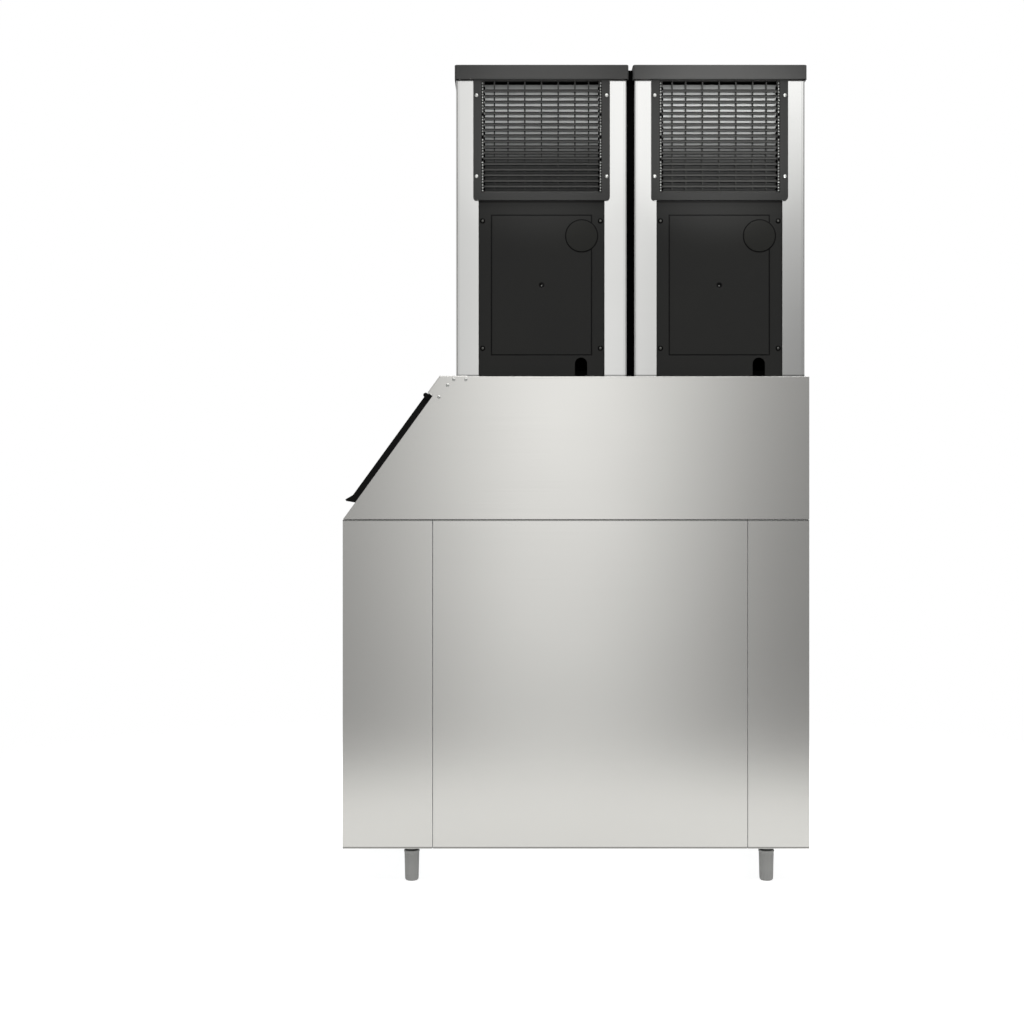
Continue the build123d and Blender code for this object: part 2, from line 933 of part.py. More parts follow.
# Base pan: a shallow tray with the ice chute cut through it
def make_base_pan():
    width = head_width - 2 * head_sheet - 2 * pan_clearance
    rear = head_rear + pan_rear_gap
    front = head_front - head_sheet - pan_clearance
    with BuildPart() as base_pan:
        with BuildSketch(Plane.XY.offset(head_bottom)):
            with Locations((0, (rear + front) / 2)):
                Rectangle(width, front - rear)
        extrude(amount=pan_height)
        fillet(base_pan.edges().filter_by(Axis.Z), radius=head_corner)
        with BuildSketch(Plane.XY.offset(head_bottom)):
            with Locations((0, (chute_near + chute_far) / 2)):
                Rectangle(chute_width, chute_far - chute_near)
        extrude(amount=pan_height, mode=Mode.SUBTRACT)
        offset(amount=-pan_sheet, openings=outermost(base_pan, (0, 0, 1)))
    return base_pan.part


# Front panel: a folded sheet on the front returns of the two sides
def make_head_front():
    plane = Plane(origin=(0, head_front, head_bottom), x_dir=(1, 0, 0), z_dir=(0, -1, 0))
    with BuildPart() as head_front_panel:
        with BuildSketch(plane):
            with Locations((0, (front_panel_bottom + front_panel_top) / 2)):
                Rectangle(head_width, front_panel_top - front_panel_bottom)
        extrude(amount=-front_panel_depth)
        uprights = head_front_panel.edges().filter_by(Axis.Z).group_by(Axis.Y)[-1]
        fillet(uprights, radius=head_corner)
        offset(amount=-head_sheet, openings=outermost(head_front_panel, (0, -1, 0)))
    return head_front_panel.part


# Condenser: a finned core between tube plates, with the return bends of its tubes
def make_condenser():
    front = head_rear - grille_proud + condenser_gap
    height = condenser_top - condenser_bottom
    middle = (condenser_top + condenser_bottom) / 2
    with BuildPart() as condenser:
        with BuildSketch(rear_plane(front)):
            with Locations((0, middle)):
                Rectangle(condenser_width, height)
                Rectangle(condenser_width - 2 * tube_plate, height, mode=Mode.SUBTRACT)
        extrude(amount=-condenser_depth)
        with BuildSketch(rear_plane(front + core_recess)):
            with Locations((0, middle)):
                Rectangle(condenser_width - 2 * tube_plate, height)
        extrude(amount=core_recess - condenser_depth)
        with BuildSketch(Plane.YZ.offset(condenser_width / 2)) as bends:
            with Locations((front + condenser_depth / 2, head_bottom + middle)):
                with GridLocations(1, height / bend_count, 1, bend_count):
                    Rectangle(bend_length, bend_width)
            chamfer(bends.vertices(), length=bend_chamfer)
        extrude(amount=bend_reach)
        mirror(condenser.part, about=Plane.YZ)
    return condenser.part


# Shroud: the wall behind the condenser, with the fan's bell mouth and the motor's struts
def make_fan_shroud():
    face = head_rear - grille_proud + condenser_gap + condenser_depth
    width = head_width - 2 * head_sheet - 2 * side_clearance
    bell_radius = fan_radius + fan_tip_clearance
    ring_radius = motor_radius + motor_clearance + motor_ring_wall
    motor_start = shroud_sheet + fan_setback + fan_hub_length + motor_gap
    with BuildPart() as fan_shroud:
        with BuildSketch(rear_plane(face)):
            with Locations((0, (shroud_bottom + shroud_top) / 2)):
                Rectangle(width, shroud_top - shroud_bottom)
        extrude(amount=-shroud_sheet)
        with BuildSketch(Plane.XY.offset(head_bottom + shroud_bottom)):
            with Locations((0, face + shroud_flange / 2)):
                Rectangle(width, shroud_flange)
        extrude(amount=shroud_sheet)
        with BuildSketch(rear_plane(face)):
            with Locations((0, fan_centre)):
                Circle(bell_radius + bell_wall)
        extrude(amount=-bell_length)
        with BuildSketch(rear_plane(face)):
            with Locations((0, fan_centre)):
                Circle(bell_radius)
        extrude(amount=-bell_length, mode=Mode.SUBTRACT)
        with BuildSketch(rear_plane(face + motor_start)):
            with Locations((0, fan_centre)):
                Rectangle(2 * bell_radius + strut_width, strut_width)
                Circle(ring_radius)
                Circle(motor_radius + motor_clearance, mode=Mode.SUBTRACT)
        extrude(amount=-motor_ring_length)
        with BuildSketch(rear_plane(face)):
            with Locations((0, fan_centre)):
                with GridLocations(2 * (bell_radius + strut_depth / 2 + bell_wall), 1, 2, 1):
                    Rectangle(strut_depth, strut_width)
        extrude(amount=-motor_start - motor_ring_length)
    return fan_shroud.part


# Fan motor: a round can with its shaft towards the fan
def make_fan_motor():
    face = head_rear - grille_proud + condenser_gap + condenser_depth
    start = face + shroud_sheet + fan_setback + fan_hub_length + motor_gap
    with BuildPart() as fan_motor:
        with BuildSketch(rear_plane(start)):
            with Locations((0, fan_centre)):
                Circle(motor_radius)
        extrude(amount=-motor_length)
        chamfer(fan_motor.faces().sort_by(Axis.Y)[-1].edges(), length=motor_chamfer)
        with BuildSketch(rear_plane(start)):
            with Locations((0, fan_centre)):
                Circle(shaft_radius)
        extrude(amount=motor_gap + fan_hub_length)
    return fan_motor.part


# Fan: a hub with raked blades, bored for the motor's shaft
def make_fan():
    face = head_rear - grille_proud + condenser_gap + condenser_depth
    start = face + shroud_sheet + fan_setback
    middle = start + fan_hub_length / 2
    centre = (0, middle, head_bottom + fan_centre)
    span = fan_radius - fan_hub_radius + blade_root
    with BuildPart() as fan:
        with BuildSketch(rear_plane(start)):
            with Locations((0, fan_centre)):
                Circle(fan_hub_radius)
        extrude(amount=-fan_hub_length)
        for number in range(fan_blades):
            turn = number * 2 * math.pi / fan_blades
            rake = math.radians(blade_pitch)
            along = (math.cos(turn), 0, math.sin(turn))
            out = (
                -math.sin(turn) * math.sin(rake),
                -math.cos(rake),
                math.cos(turn) * math.sin(rake),
            )
            with BuildSketch(Plane(origin=centre, x_dir=along, z_dir=out)):
                with Locations((fan_radius - span / 2 - blade_root, 0)):
                    RectangleRounded(span, blade_chord, blade_corner)
            extrude(amount=blade_sheet / 2, both=True)
        with BuildSketch(rear_plane(start)):
            with Locations((0, fan_centre)):
                Circle(shaft_radius + shaft_clearance)
        extrude(amount=-fan_hub_length, mode=Mode.SUBTRACT)
    return fan.part


# Bulkhead: the wall between the machinery and the ice side, folded at its edges
def make_bulkhead():
    width = head_width - 2 * head_sheet - 2 * side_clearance
    low = head_bottom + pan_sheet
    with BuildPart() as bulkhead:
        with BuildSketch(Plane.XY.offset(low)):
            with Locations((0, bulkhead_y - bulkhead_flange / 2)):
                Rectangle(width, bulkhead_flange)
            with Locations((0, bulkhead_y - head_sheet - bulkhead_flange / 2)):
                Rectangle(width - 2 * head_sheet, bulkhead_flange, mode=Mode.SUBTRACT)
        extrude(amount=bulkhead_top - pan_sheet)
        with BuildSketch(Plane.XY.offset(low)):
            for x in (-width / 2, width / 2):
                with Locations((x, bulkhead_y - bulkhead_flange / 2)):
                    Rectangle(2 * bulkhead_notch, 2 * bulkhead_flange)
        extrude(amount=pan_height, mode=Mode.SUBTRACT)
    return bulkhead.part


# Evaporator: a plate of ice cells with two ears that carry the curtain's pins
def make_evaporator():
    height = evaporator_height
    middle = evaporator_bottom + height / 2
    pitch_x = (evaporator_width - cell_wall) / cell_columns
    pitch_z = (height - cell_wall) / cell_rows
    front = Plane(origin=(0, bulkhead_y, head_bottom), x_dir=(-1, 0, 0), z_dir=(0, 1, 0))
    pin_y = bulkhead_y + ear_reach - curtain_barrel_radius
    pin_z = evaporator_bottom + height + ear_height / 2
    ear_x = evaporator_width / 2 + ear_thickness / 2
    with BuildPart() as evaporator:
        with BuildSketch(front):
            with Locations((0, middle)):
                Rectangle(evaporator_width, height)
        extrude(amount=evaporator_depth)
        with BuildSketch(front.offset(evaporator_depth - cell_depth)):
            with Locations((0, middle)):
                with GridLocations(pitch_x, pitch_z, cell_columns, cell_rows):
                    Rectangle(pitch_x - cell_wall, pitch_z - cell_wall)
        extrude(amount=cell_depth, mode=Mode.SUBTRACT)
        for x in (-ear_x, ear_x):
            with BuildSketch(Plane.YZ.offset(x - ear_thickness / 2)):
                with Locations((bulkhead_y, head_bottom + evaporator_bottom)):
                    Rectangle(evaporator_depth, height, align=(Align.MIN, Align.MIN))
                with Locations((bulkhead_y, head_bottom + pin_z)):
                    Rectangle(ear_reach, ear_height, align=(Align.MIN, Align.CENTER))
            extrude(amount=ear_thickness)
        for side in (-1, 1):
            with BuildSketch(Plane.YZ.offset(side * evaporator_width / 2)):
                with Locations((pin_y, head_bottom + pin_z)):
                    Circle(curtain_pin_radius)
            extrude(amount=-side * curtain_pin_length)
    return evaporator.part


# Trough: the water tray under the evaporator
def make_water_trough():
    middle_y = bulkhead_y + trough_depth / 2
    with BuildPart() as water_trough:
        with BuildSketch(Plane.XY.offset(head_bottom + trough_bottom)):
            with Locations((0, middle_y)):
                RectangleRounded(trough_width, trough_depth, trough_corner)
        extrude(amount=trough_height)
        offset(amount=-trough_wall, openings=outermost(water_trough, (0, 0, 1)))
    return water_trough.part


# Curtain: a hanging flap that the falling ice pushes open
def make_curtain():
    pin_y = bulkhead_y + ear_reach - curtain_barrel_radius
    pin_z = head_bottom + evaporator_bottom + evaporator_height + ear_height / 2
    width = curtain_width
    with BuildPart() as curtain:
        with BuildSketch(Plane.YZ):
            with Locations((pin_y, pin_z)):
                Circle(curtain_barrel_radius)
                Rectangle(curtain_thickness, curtain_drop, align=(Align.CENTER, Align.MAX))
                Circle(curtain_pin_radius + curtain_pin_clearance, mode=Mode.SUBTRACT)
        extrude(amount=width / 2, both=True)
        rib = Plane(
            origin=(0, pin_y + curtain_thickness / 2, pin_z - curtain_drop / 2),
            x_dir=(-1, 0, 0),
            z_dir=(0, 1, 0),
        )
        with BuildSketch(rib):
            with GridLocations(width / curtain_rib_count, 1, curtain_rib_count, 1):
                Rectangle(curtain_rib_width, curtain_drop - 2 * curtain_rib_margin)
        extrude(amount=curtain_rib_height)
    return curtain.part


# Compressor: a welded can on a foot plate with four mounts
def make_compressor():
    low = head_bottom + pan_sheet
    base = Plane(origin=(compressor_x, compressor_y, low))
    body_top = compressor_lift + compressor_height
    shoulder = body_top - compressor_dome
    with BuildPart() as compressor:
        with BuildSketch(base.offset(compressor_lift)):
            Rectangle(compressor_foot, compressor_foot)
        extrude(amount=compressor_foot_sheet)
        with BuildSketch(base):
            with GridLocations(2 * compressor_mount_spread, 2 * compressor_mount_spread, 2, 2):
                Circle(compressor_mount_radius)
        extrude(amount=compressor_lift)
        with BuildSketch(Plane(origin=base.origin, x_dir=(1, 0, 0), z_dir=(0, -1, 0))):
            with BuildLine():
                Polyline(
                    (0, compressor_lift),
                    (compressor_radius, compressor_lift),
                    (compressor_radius, shoulder),
                    (compressor_crown_radius, body_top),
                    (0, body_top),
                    close=True,
                )
            make_face()
        revolve(axis=Axis(base.origin, (0, 0, 1)))
        with BuildSketch(base.offset(body_top)):
            with Locations((0, compressor_crown_radius / 2)):
                Circle(compressor_pipe_radius)
        extrude(amount=compressor_pipe_reach)
    return compressor.part


def make_head_parts():
    """All pieces of one head, by name."""
    left_side = make_head_side()
    return {
        "lid": make_lid(),
        "side_left": left_side,
        "side_right": mirror(left_side, about=Plane.YZ),
        "front_panel": make_head_front(),
        "base_pan": make_base_pan(),
        "grille": make_grille(),
        "service_panel": make_service_panel(),
        "port_cover": make_port_cover(),
        "condenser": make_condenser(),
        "fan_shroud": make_fan_shroud(),
        "fan_motor": make_fan_motor(),
        "fan": make_fan(),
        "compressor": make_compressor(),
        "bulkhead": make_bulkhead(),
        "evaporator": make_evaporator(),
        "water_trough": make_water_trough(),
        "curtain": make_curtain(),
    }


def main():
    os.makedirs("parts", exist_ok=True)
    save(make_base_frame(), "base_frame")
    for name, place in zip(
        ("leg_front_near", "leg_front_far", "leg_rear_near", "leg_rear_far"), leg_places
    ):
        save(make_leg(place), name)
    save(make_bin_tub(), "bin_tub")
    for side, label in ((-1, "near"), (1, "far")):
        hopper = make_side_tray(hopper_side_outline(), side, side_screw_places)
        save(hopper, f"hopper_side_{label}")
        for name, outline in cabinet_side_outlines().items():
            save(make_side_tray(outline, side), f"cabinet_side_{name}_{label}")
    save(make_front_panel(), "front_panel")
    save(make_slope_frame(), "slope_frame")
    save(make_top_deck(), "top_deck")
    save(make_rear_panel(), "rear_panel")
    save(make_hinge_cap(), "hinge_cap")
    save(make_door(), "door")
    save(make_door_gasket(), "door_gasket")
    save(make_hinge_rod(), "hinge_rod")
    save(make_hinge_brackets(), "hinge_brackets")
    save(make_drain(), "drain")
    save(make_bright_screws(), "bright_screws")
    save(make_panel_screws(), "panel_screws")
    head_parts = make_head_parts()
    for number, label in enumerate(("left", "right")):
        place = Pos(first_head_x + number * head_pitch, 0, 0)
        for name, part in head_parts.items():
            save(place * part, f"{label}_head_{name}")


main()
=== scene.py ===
import json
import math

import bpy
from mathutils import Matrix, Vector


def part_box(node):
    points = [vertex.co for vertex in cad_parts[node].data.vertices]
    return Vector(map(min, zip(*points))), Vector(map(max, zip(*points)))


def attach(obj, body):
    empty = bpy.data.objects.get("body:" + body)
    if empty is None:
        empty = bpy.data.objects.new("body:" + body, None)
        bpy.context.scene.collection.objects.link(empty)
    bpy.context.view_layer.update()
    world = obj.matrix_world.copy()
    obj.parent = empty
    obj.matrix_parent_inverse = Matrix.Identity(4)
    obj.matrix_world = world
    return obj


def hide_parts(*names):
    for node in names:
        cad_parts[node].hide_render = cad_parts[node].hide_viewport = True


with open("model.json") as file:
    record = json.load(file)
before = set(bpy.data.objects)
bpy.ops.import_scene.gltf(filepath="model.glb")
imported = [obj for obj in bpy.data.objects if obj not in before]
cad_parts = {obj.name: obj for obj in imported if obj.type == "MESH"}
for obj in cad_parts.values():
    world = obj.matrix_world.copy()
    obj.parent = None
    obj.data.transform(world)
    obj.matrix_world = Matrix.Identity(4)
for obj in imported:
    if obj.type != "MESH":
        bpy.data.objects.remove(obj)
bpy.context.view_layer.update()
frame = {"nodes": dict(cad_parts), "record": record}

MM = 0.001
HEADS = ("left", "right")
CORNERS = ("front_near", "front_far", "rear_near", "rear_far")
TO_SERVICE_SIDE = (math.pi / 2, 0, 0)
SMOOTH_ANGLE = 40.0

# Camera: its place and its lens in millimetres, and how far it sees in metres
CAMERA_PLACE = (-205.8, -4953.0, 1194.4)
CAMERA_LENS = 50.0
CAMERA_SENSOR = 36.0
CAMERA_REACH = 200.0

# Lamps, in metres, degrees and watts
SOFTBOX_PLACE = (0.75, -0.6, 5.5)
SOFTBOX_AIM = (0.75, -0.6, 0.0)
SOFTBOX_SIZE = (5.0, 5.0)
SOFTBOX_RADIANCE = 4.2
SPOT_Y = -4.8
SPOT_HEIGHT = 1.75
SPOT_AIM_HEIGHT = 2.41
SPOT_OPENING = 9.5
SPOT_BLEND = 0.8
SPOT_SIZE = 0.05
SPOT_POWER = {"left": 330.0, "right": 570.0}

# Floor, in metres, and how bright it is to the camera and to the object
FLOOR_RADIUS = 40.0
FLOOR_SIDES = 96
FLOOR_SOLID = 1.7
FLOOR_GONE = 3.6
FLOOR_WHITE = 0.84
FLOOR_GLOW = 0.43

# Light from all round, from the two ends of the object, and from soft panels
ROOM_LIGHT = 0.18
END_LIGHT = 0.55
LEAST_DEPTH = 0.02
SIDE_REACH = 0.4
# A panel's middle (across, up, and 0 for the service side or 1 for the far side), reach, strength
PANELS = (
    ((0.035, 0.1, 0), (0.175, 0.52), 1.2),
    ((-0.13, -0.05, 0), (0.16, 0.3), 0.13),
    ((0.06, 0.5, 0), (0.7, 0.36), 1.15),
    ((0.23, 0.4, 0), (0.2, 0.27), 1.4),
    ((0.1, -0.32, 0), (0.6, 0.2), 0.4),
    ((-0.3, 0.2, 1), (0.22, 0.7), 0.85),
    ((0.3, 0.2, 1), (0.22, 0.7), 0.85),
    ((-0.09, 0.17, 1), (0.1, 0.4), -0.18),
    ((0.09, 0.17, 1), (0.1, 0.4), -0.18),
    ((0.0, 0.75, 1), (0.9, 0.4), 0.9),
    ((0.0, -0.35, 1), (0.7, 0.25), 0.6),
)

# How much smoother or rougher a surface gets from place to place
SMOOTHER = 0.04
ROUGHER = 0.06

# Nearly all of a noise lies between these two
NOISE_LOW = 0.3
NOISE_HIGH = 0.7

# Brushed steel, in millimetres: a line's length, depth and spacing, and the width of a cloud
BRUSH_LINE = (833.3, 3.333, 0.9091)
SPANGLE = (33.33, 33.33, 33.33)
STEEL_CLOUD = 588.2
LINE_DEPTH = 0.2
LINE_RELIEF = 0.02
LINE_SHARE = (0.2, 0.55)
FOLD_RADIUS = 1.0

# Moulded and sprayed surfaces and plated screws, in millimetres
PLASTIC_CLOUD = 333.3
GRAIN_DEPTH = 0.3
EDGE_RADIUS = 1.5
EDGE_SAMPLES = 6
PLATING_BLOTCH = 2.5
PLATING_ROUGHNESS = (0.25, 0.45)

# A wave texture of scale 1 repeats after this length
WAVE_LENGTH = math.pi / 10

# Fin pack, in millimetres. Painted shade darkens it below one share of its height and is gone above
# another.
# A painted shadow of the grille's top lies between two depths below that top.
FIN_PITCH = 4.02124
FIN_RELIEF = 1.0
# Painted shade in the gaps between the drawn fins
FIN_GAP_SHADE = 0.78
DUST_BLOTCH = 71.43
DUST_TONE = 0.82
SHADED_BELOW = 0.25
LIT_ABOVE = 0.8
FIN_FOOT_SHADE = 0.06
HEADER_SHADOW_START = 75.0
HEADER_SHADOW_END = 10.0
HEADER_SHADOW_TONE = 0.2

# Darker or paler stretches, most of them painted shade or painted light: a factor for the colour, and
# where it lies in millimetres
# A painted shadow line along the bin's bottom hem
HEM = (113.0, 118.0)
HEM_SHADOW_TONE = 0.45
SEAM = (-3.5, 2.5)
SEAM_TONE = 0.36
# A painted shadow where the heads meet the deck, and painted shade along the heads' outer folds
FOOT = (0.0, 7.5)
FOOT_SHADOW_TONE = 0.5
FOLD = 11.0
FOLD_SHADE_TONE = 0.92
FOLD_MARGIN = 1.0
SHEET = 1.5
# Painted shade in the service panels' grooves, and a painted shadow under the grilles' lip
GROOVE = (0.4, 2.4)
GROOVE_SHADE_TONE = 0.06
UNDER_LIP = 6.0
UNDER_LIP_SHADOW_TONE = 0.2
# Painted light on the grilles' slats, stronger on the right head
OPENING_FOOT = 27.0
OPENING_TOP = 14.0
SLAT_LIGHT_TONE = {"left": 1.4, "right": 2.1}
# A painted shadow on the legs' necks
LEG_NECK = (99.0, 105.0)
LEG_NECK_SHADOW_TONE = 0.12

# Main and worn colour. The right lid is painted paler, as painted light from the right, and the right
# grille is painted darker, as painted shade against its stronger lamp
LID_LIT_COLOURS = {"left": ("#393938", "#424241"), "right": ("#424241", "#4b4b4a")}
GRILLE_SHADED_COLOURS = {"left": ("#2b2b2a", "#333332"), "right": ("#262625", "#2d2d2c")}

# Screws in millimetres. The crown and the cup are shares of the radius and the height
SCREW_SIDES = 24
SCREW_RADIUS = 5.5
SCREW_HEIGHT = 2.6
SCREW_EDGE = 0.3
SCREW_CROWN = ((1.0, 0.45), (0.86, 0.78), (0.55, 1.0))
SCREW_SPAN = 12.0
CROSS_WIDTH = 0.3
CROSS_LENGTH = 1.1
CUP_RADIUS = 8.0
CUP_PROFILE = ((1.0, 0.0), (1.0, 0.7), (0.9, 1.0), (0.55, 0.5))
CUP_SCREW_RADIUS = 4.2
DISH_HEIGHT = 294.5
DISH_DEPTH = 4.5
DISH_SCREW_RADIUS = 2.4

# Strips of beads beside the slats, in millimetres. The profiles are shares of radius and height
LEDGE_DEPTH = 5.0
BEAD_TOP = 20.2
BEAD_SPREAD = 190.3
BEAD_PITCH = 9.1
BEAD_COUNT = 39
BEAD_RADIUS = 3.0
BEAD_REACH = 3.2
BEAD_SIDES = 10
BEAD_PROFILE = ((1.0, 0.0), (1.0, 0.4), (0.8, 0.8), (0.35, 1.0))
NOTCHES = (11, 19, 27)
NOTCH_RADIUS = 3.9
SLOT_SPREAD = 184.4
SLOT_PITCH = 18.1
SLOT_START = 0.86
SLOT_COUNT = 19
SLOT_RADIUS = 3.6
SLOT_SHAPE = (0.75, 1.5, 1.0)
PLATE_SIDES = 12
PLATE_PROFILE = ((1.0, 0.0), (1.0, 0.3), (0.9, 0.4), (0.7, 0.1))

# Black ring round the port cover and black strip between the heads, both painted shade, in millimetres
PORT_RING = 1.9
PORT_RING_FLATNESS = 0.3
PORT_RING_SEGMENTS = (64, 8)
GAP_SHADE_DEPTH = 7.0
GAP_SHADE_THICKNESS = 12.0
GAP_SHADE_ROUNDING = 3.0
GAP_SHADE_SEGMENTS = 3

# Levelling leg in millimetres: the radius and the height of each step from the foot to the stud
LEG_SIDES = 48
LEG_PROFILE = (
    (14, 0), (18.5, 1), (21, 3.5), (22, 7), (22.3, 14), (22.4, 16), (22.7, 30), (22.8, 32),
    (23.8, 80), (23.9, 82), (24.1, 90), (24.2, 92), (25.3, 93.5), (25.3, 98), (22.5, 99.5),
    (22.5, 104), (25.5, 105.5), (25.5, 112), (8, 112),
)
THREAD_CREST = 8.0
THREAD_ROOT = 7.1
THREAD_PITCH = 1.5
THREAD_START = 112.6
THREAD_END = 144.0
STUD_END = ((7.1, 145.2), (6.4, 146))
LEG_FLUTES = 12
FLUTE_ENDS = (16, 30, 82, 90)
FLUTE_SHARE = 0.93
FLUTE_MARGIN = 0.1


# Camera and lamps
def place_camera():
    """A 50 mm lens that looks squarely at the service side, at the photograph's height."""
    data = bpy.data.cameras.new("camera")
    data.lens = CAMERA_LENS
    data.sensor_width = CAMERA_SENSOR
    data.clip_end = CAMERA_REACH
    camera = bpy.data.objects.new("camera", data)
    camera.location = [value * MM for value in CAMERA_PLACE]
    camera.rotation_euler = (math.radians(90), 0, 0)
    bpy.context.scene.collection.objects.link(camera)
    bpy.context.scene.camera = camera


def place_lamp(data, place, aim):
    """Puts a lamp at a place and turns it towards another point."""
    lamp = bpy.data.objects.new(data.name, data)
    across, along, up = [a - p for a, p in zip(aim, place)]
    pitch = math.atan2(up, math.hypot(across, along))
    lamp.location = place
    lamp.rotation_euler = (math.pi / 2 + pitch, 0, math.atan2(-across, along))
    bpy.context.scene.collection.objects.link(lamp)


def add_lamps():
    """One large softbox overhead, and a small spotlight on each grille."""
    softbox = bpy.data.lights.new("top_softbox", "AREA")
    softbox.shape = "RECTANGLE"
    softbox.size, softbox.size_y = SOFTBOX_SIZE
    softbox.energy = SOFTBOX_RADIANCE * math.pi * SOFTBOX_SIZE[0] * SOFTBOX_SIZE[1]
    place_lamp(softbox, SOFTBOX_PLACE, SOFTBOX_AIM)
    for head in HEADS:
        low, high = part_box(head + "_head_grille")
        middle = (low[0] + high[0]) / 2
        spot = bpy.data.lights.new(head + "_grille_spot", "SPOT")
        spot.energy = SPOT_POWER[head]
        spot.spot_size = math.radians(SPOT_OPENING)
        spot.spot_blend = SPOT_BLEND
        spot.shadow_soft_size = SPOT_SIZE
        place_lamp(spot, (middle, SPOT_Y, SPOT_HEIGHT), (middle, low[1], SPOT_AIM_HEIGHT))


# Materials
def linear(code):
    """Linear RGBA from an sRGB hex colour."""
    parts = [int(code[i:i + 2], 16) / 255 for i in (1, 3, 5)]
    return tuple(
        c / 12.92 if c <= 0.04045 else ((c + 0.055) / 1.055) ** 2.4 for c in parts
    ) + (1.0,)


def add(tree, kind, links=None, **settings):
    """A node of a kind. Links go from an output socket to an input, by its name or number.

    A setting such as in_2 or in_Scale fills that input, and any other is the node's own.
    """
    node = tree.nodes.new("ShaderNode" + kind)
    for key, value in settings.items():
        if key.startswith("in_"):
            name = key[3:]
            node.inputs[int(name) if name.isdigit() else name].default_value = value
        else:
            setattr(node, key, value)
    for key, socket in (links or {}).items():
        tree.links.new(socket, node.inputs[key])
    return node


def new_material(name):
    """An empty material, its nodes, its Principled shader, and the place on the object in metres."""
    material = bpy.data.materials.new(name)
    material.use_nodes = True
    tree = material.node_tree
    tree.nodes.clear()
    shader = add(tree, "BsdfPrincipled")
    add(tree, "OutputMaterial", {"Surface": shader.outputs[0]})
    place = add(tree, "TexCoord").outputs["Object"]
    return material, tree, shader, place


def tone_where(tree, place, tone, *bands):
    """A tone where a place lies in every band, an axis with its two ends in mm, and else one."""
    axes = add(tree, "SeparateXYZ", {0: place}).outputs
    inside = None
    for axis, low, high in bands:
        band = add(
            tree, "Math", {0: axes[axis]}, operation="COMPARE",
            in_1=(low + high) / 2 * MM, in_2=(high - low) / 2 * MM,
        ).outputs[0]
        if inside is None:
            inside = band
        else:
            inside = add(tree, "Math", {0: inside, 1: band}, operation="MULTIPLY").outputs[0]
    return add(tree, "MapRange", {"Value": inside}, in_3=1.0, in_4=tone).outputs[0]


def shaded(tree, place, colour, shades):
    """A colour with its shades: each a tone that multiplies it, and the bands where it does."""
    for tone, *bands in shades:
        scale = tone_where(tree, place, tone, *bands)
        colour = add(tree, "VectorMath", {0: colour, "Scale": scale}, operation="SCALE").outputs[0]
    return colour


def make_brushed_stainless(name, pale, dark, roughness, grain, shades=()):
    """Sheet steel with a drawn grain that breaks the reflections up, under a cloudy sheen.

    The brush lines are finer than a pixel of the photograph, so they show only in reflections.
    Where two faces meet, a soft light runs along the fold.
    """
    material, tree, shader, place = new_material(name)
    shader.inputs["Metallic"].default_value = 1.0
    stretch = add(tree, "Mapping", {"Vector": place}, in_Scale=[1 / (size * MM) for size in grain])
    lines = add(
        tree, "TexNoise", {"Vector": stretch.outputs[0]}, in_Scale=1.0, in_Detail=3.0, in_Roughness=0.6,
    ).outputs[0]
    clouds = add(
        tree, "TexNoise", {"Vector": place}, in_Scale=1 / (STEEL_CLOUD * MM), in_Detail=2.0,
    ).outputs[0]
    faint = add(
        tree, "MapRange", {"Value": lines}, in_1=NOISE_LOW, in_2=NOISE_HIGH,
        in_3=LINE_SHARE[0], in_4=LINE_SHARE[1],
    ).outputs[0]
    both = add(tree, "Math", {0: faint, 1: clouds}, operation="MULTIPLY").outputs[0]
    colour = add(
        tree, "Mix", {"Factor": both}, data_type="RGBA", in_A=linear(pale), in_B=linear(dark),
    ).outputs["Result"]
    tree.links.new(shaded(tree, place, colour, shades), shader.inputs["Base Color"])
    rough = add(
        tree, "MapRange", {"Value": both}, in_1=0.0, in_2=0.6,
        in_3=roughness, in_4=roughness + ROUGHER,
    ).outputs[0]
    tree.links.new(rough, shader.inputs["Roughness"])
    fold = add(tree, "Bevel", samples=EDGE_SAMPLES, in_Radius=FOLD_RADIUS * MM).outputs[0]
    bump = add(
        tree, "Bump", {"Height": lines, "Normal": fold}, in_Strength=LINE_RELIEF,
        in_Distance=LINE_DEPTH * MM,
    ).outputs[0]
    tree.links.new(bump, shader.inputs["Normal"])
    return material


def make_moulded(name, base, worn, roughness, grain, relief, specular=0.5, shades=()):
    """Moulded or sprayed surface: an even colour, a fine grain in mm and slightly uneven gloss."""
    material, tree, shader, place = new_material(name)
    shader.inputs["Specular IOR Level"].default_value = specular
    pores = add(
        tree, "TexNoise", {"Vector": place}, in_Scale=1 / (grain * MM), in_Detail=2.0,
    ).outputs[0]
    clouds = add(
        tree, "TexNoise", {"Vector": place}, in_Scale=1 / (PLASTIC_CLOUD * MM), in_Detail=3.0,
    ).outputs[0]
    colour = add(
        tree, "Mix", {"Factor": clouds}, data_type="RGBA", in_A=linear(base), in_B=linear(worn),
    ).outputs["Result"]
    tree.links.new(shaded(tree, place, colour, shades), shader.inputs["Base Color"])
    rough = add(
        tree, "MapRange", {"Value": clouds}, in_1=NOISE_LOW, in_2=NOISE_HIGH,
        in_3=roughness - SMOOTHER, in_4=roughness + ROUGHER,
    ).outputs[0]
    tree.links.new(rough, shader.inputs["Roughness"])
    edge = add(tree, "Bevel", samples=EDGE_SAMPLES, in_Radius=EDGE_RADIUS * MM).outputs[0]
    bump = add(
        tree, "Bump", {"Height": pores, "Normal": edge}, in_Strength=relief, in_Distance=GRAIN_DEPTH * MM,
    ).outputs[0]
    tree.links.new(bump, shader.inputs["Normal"])
    return material


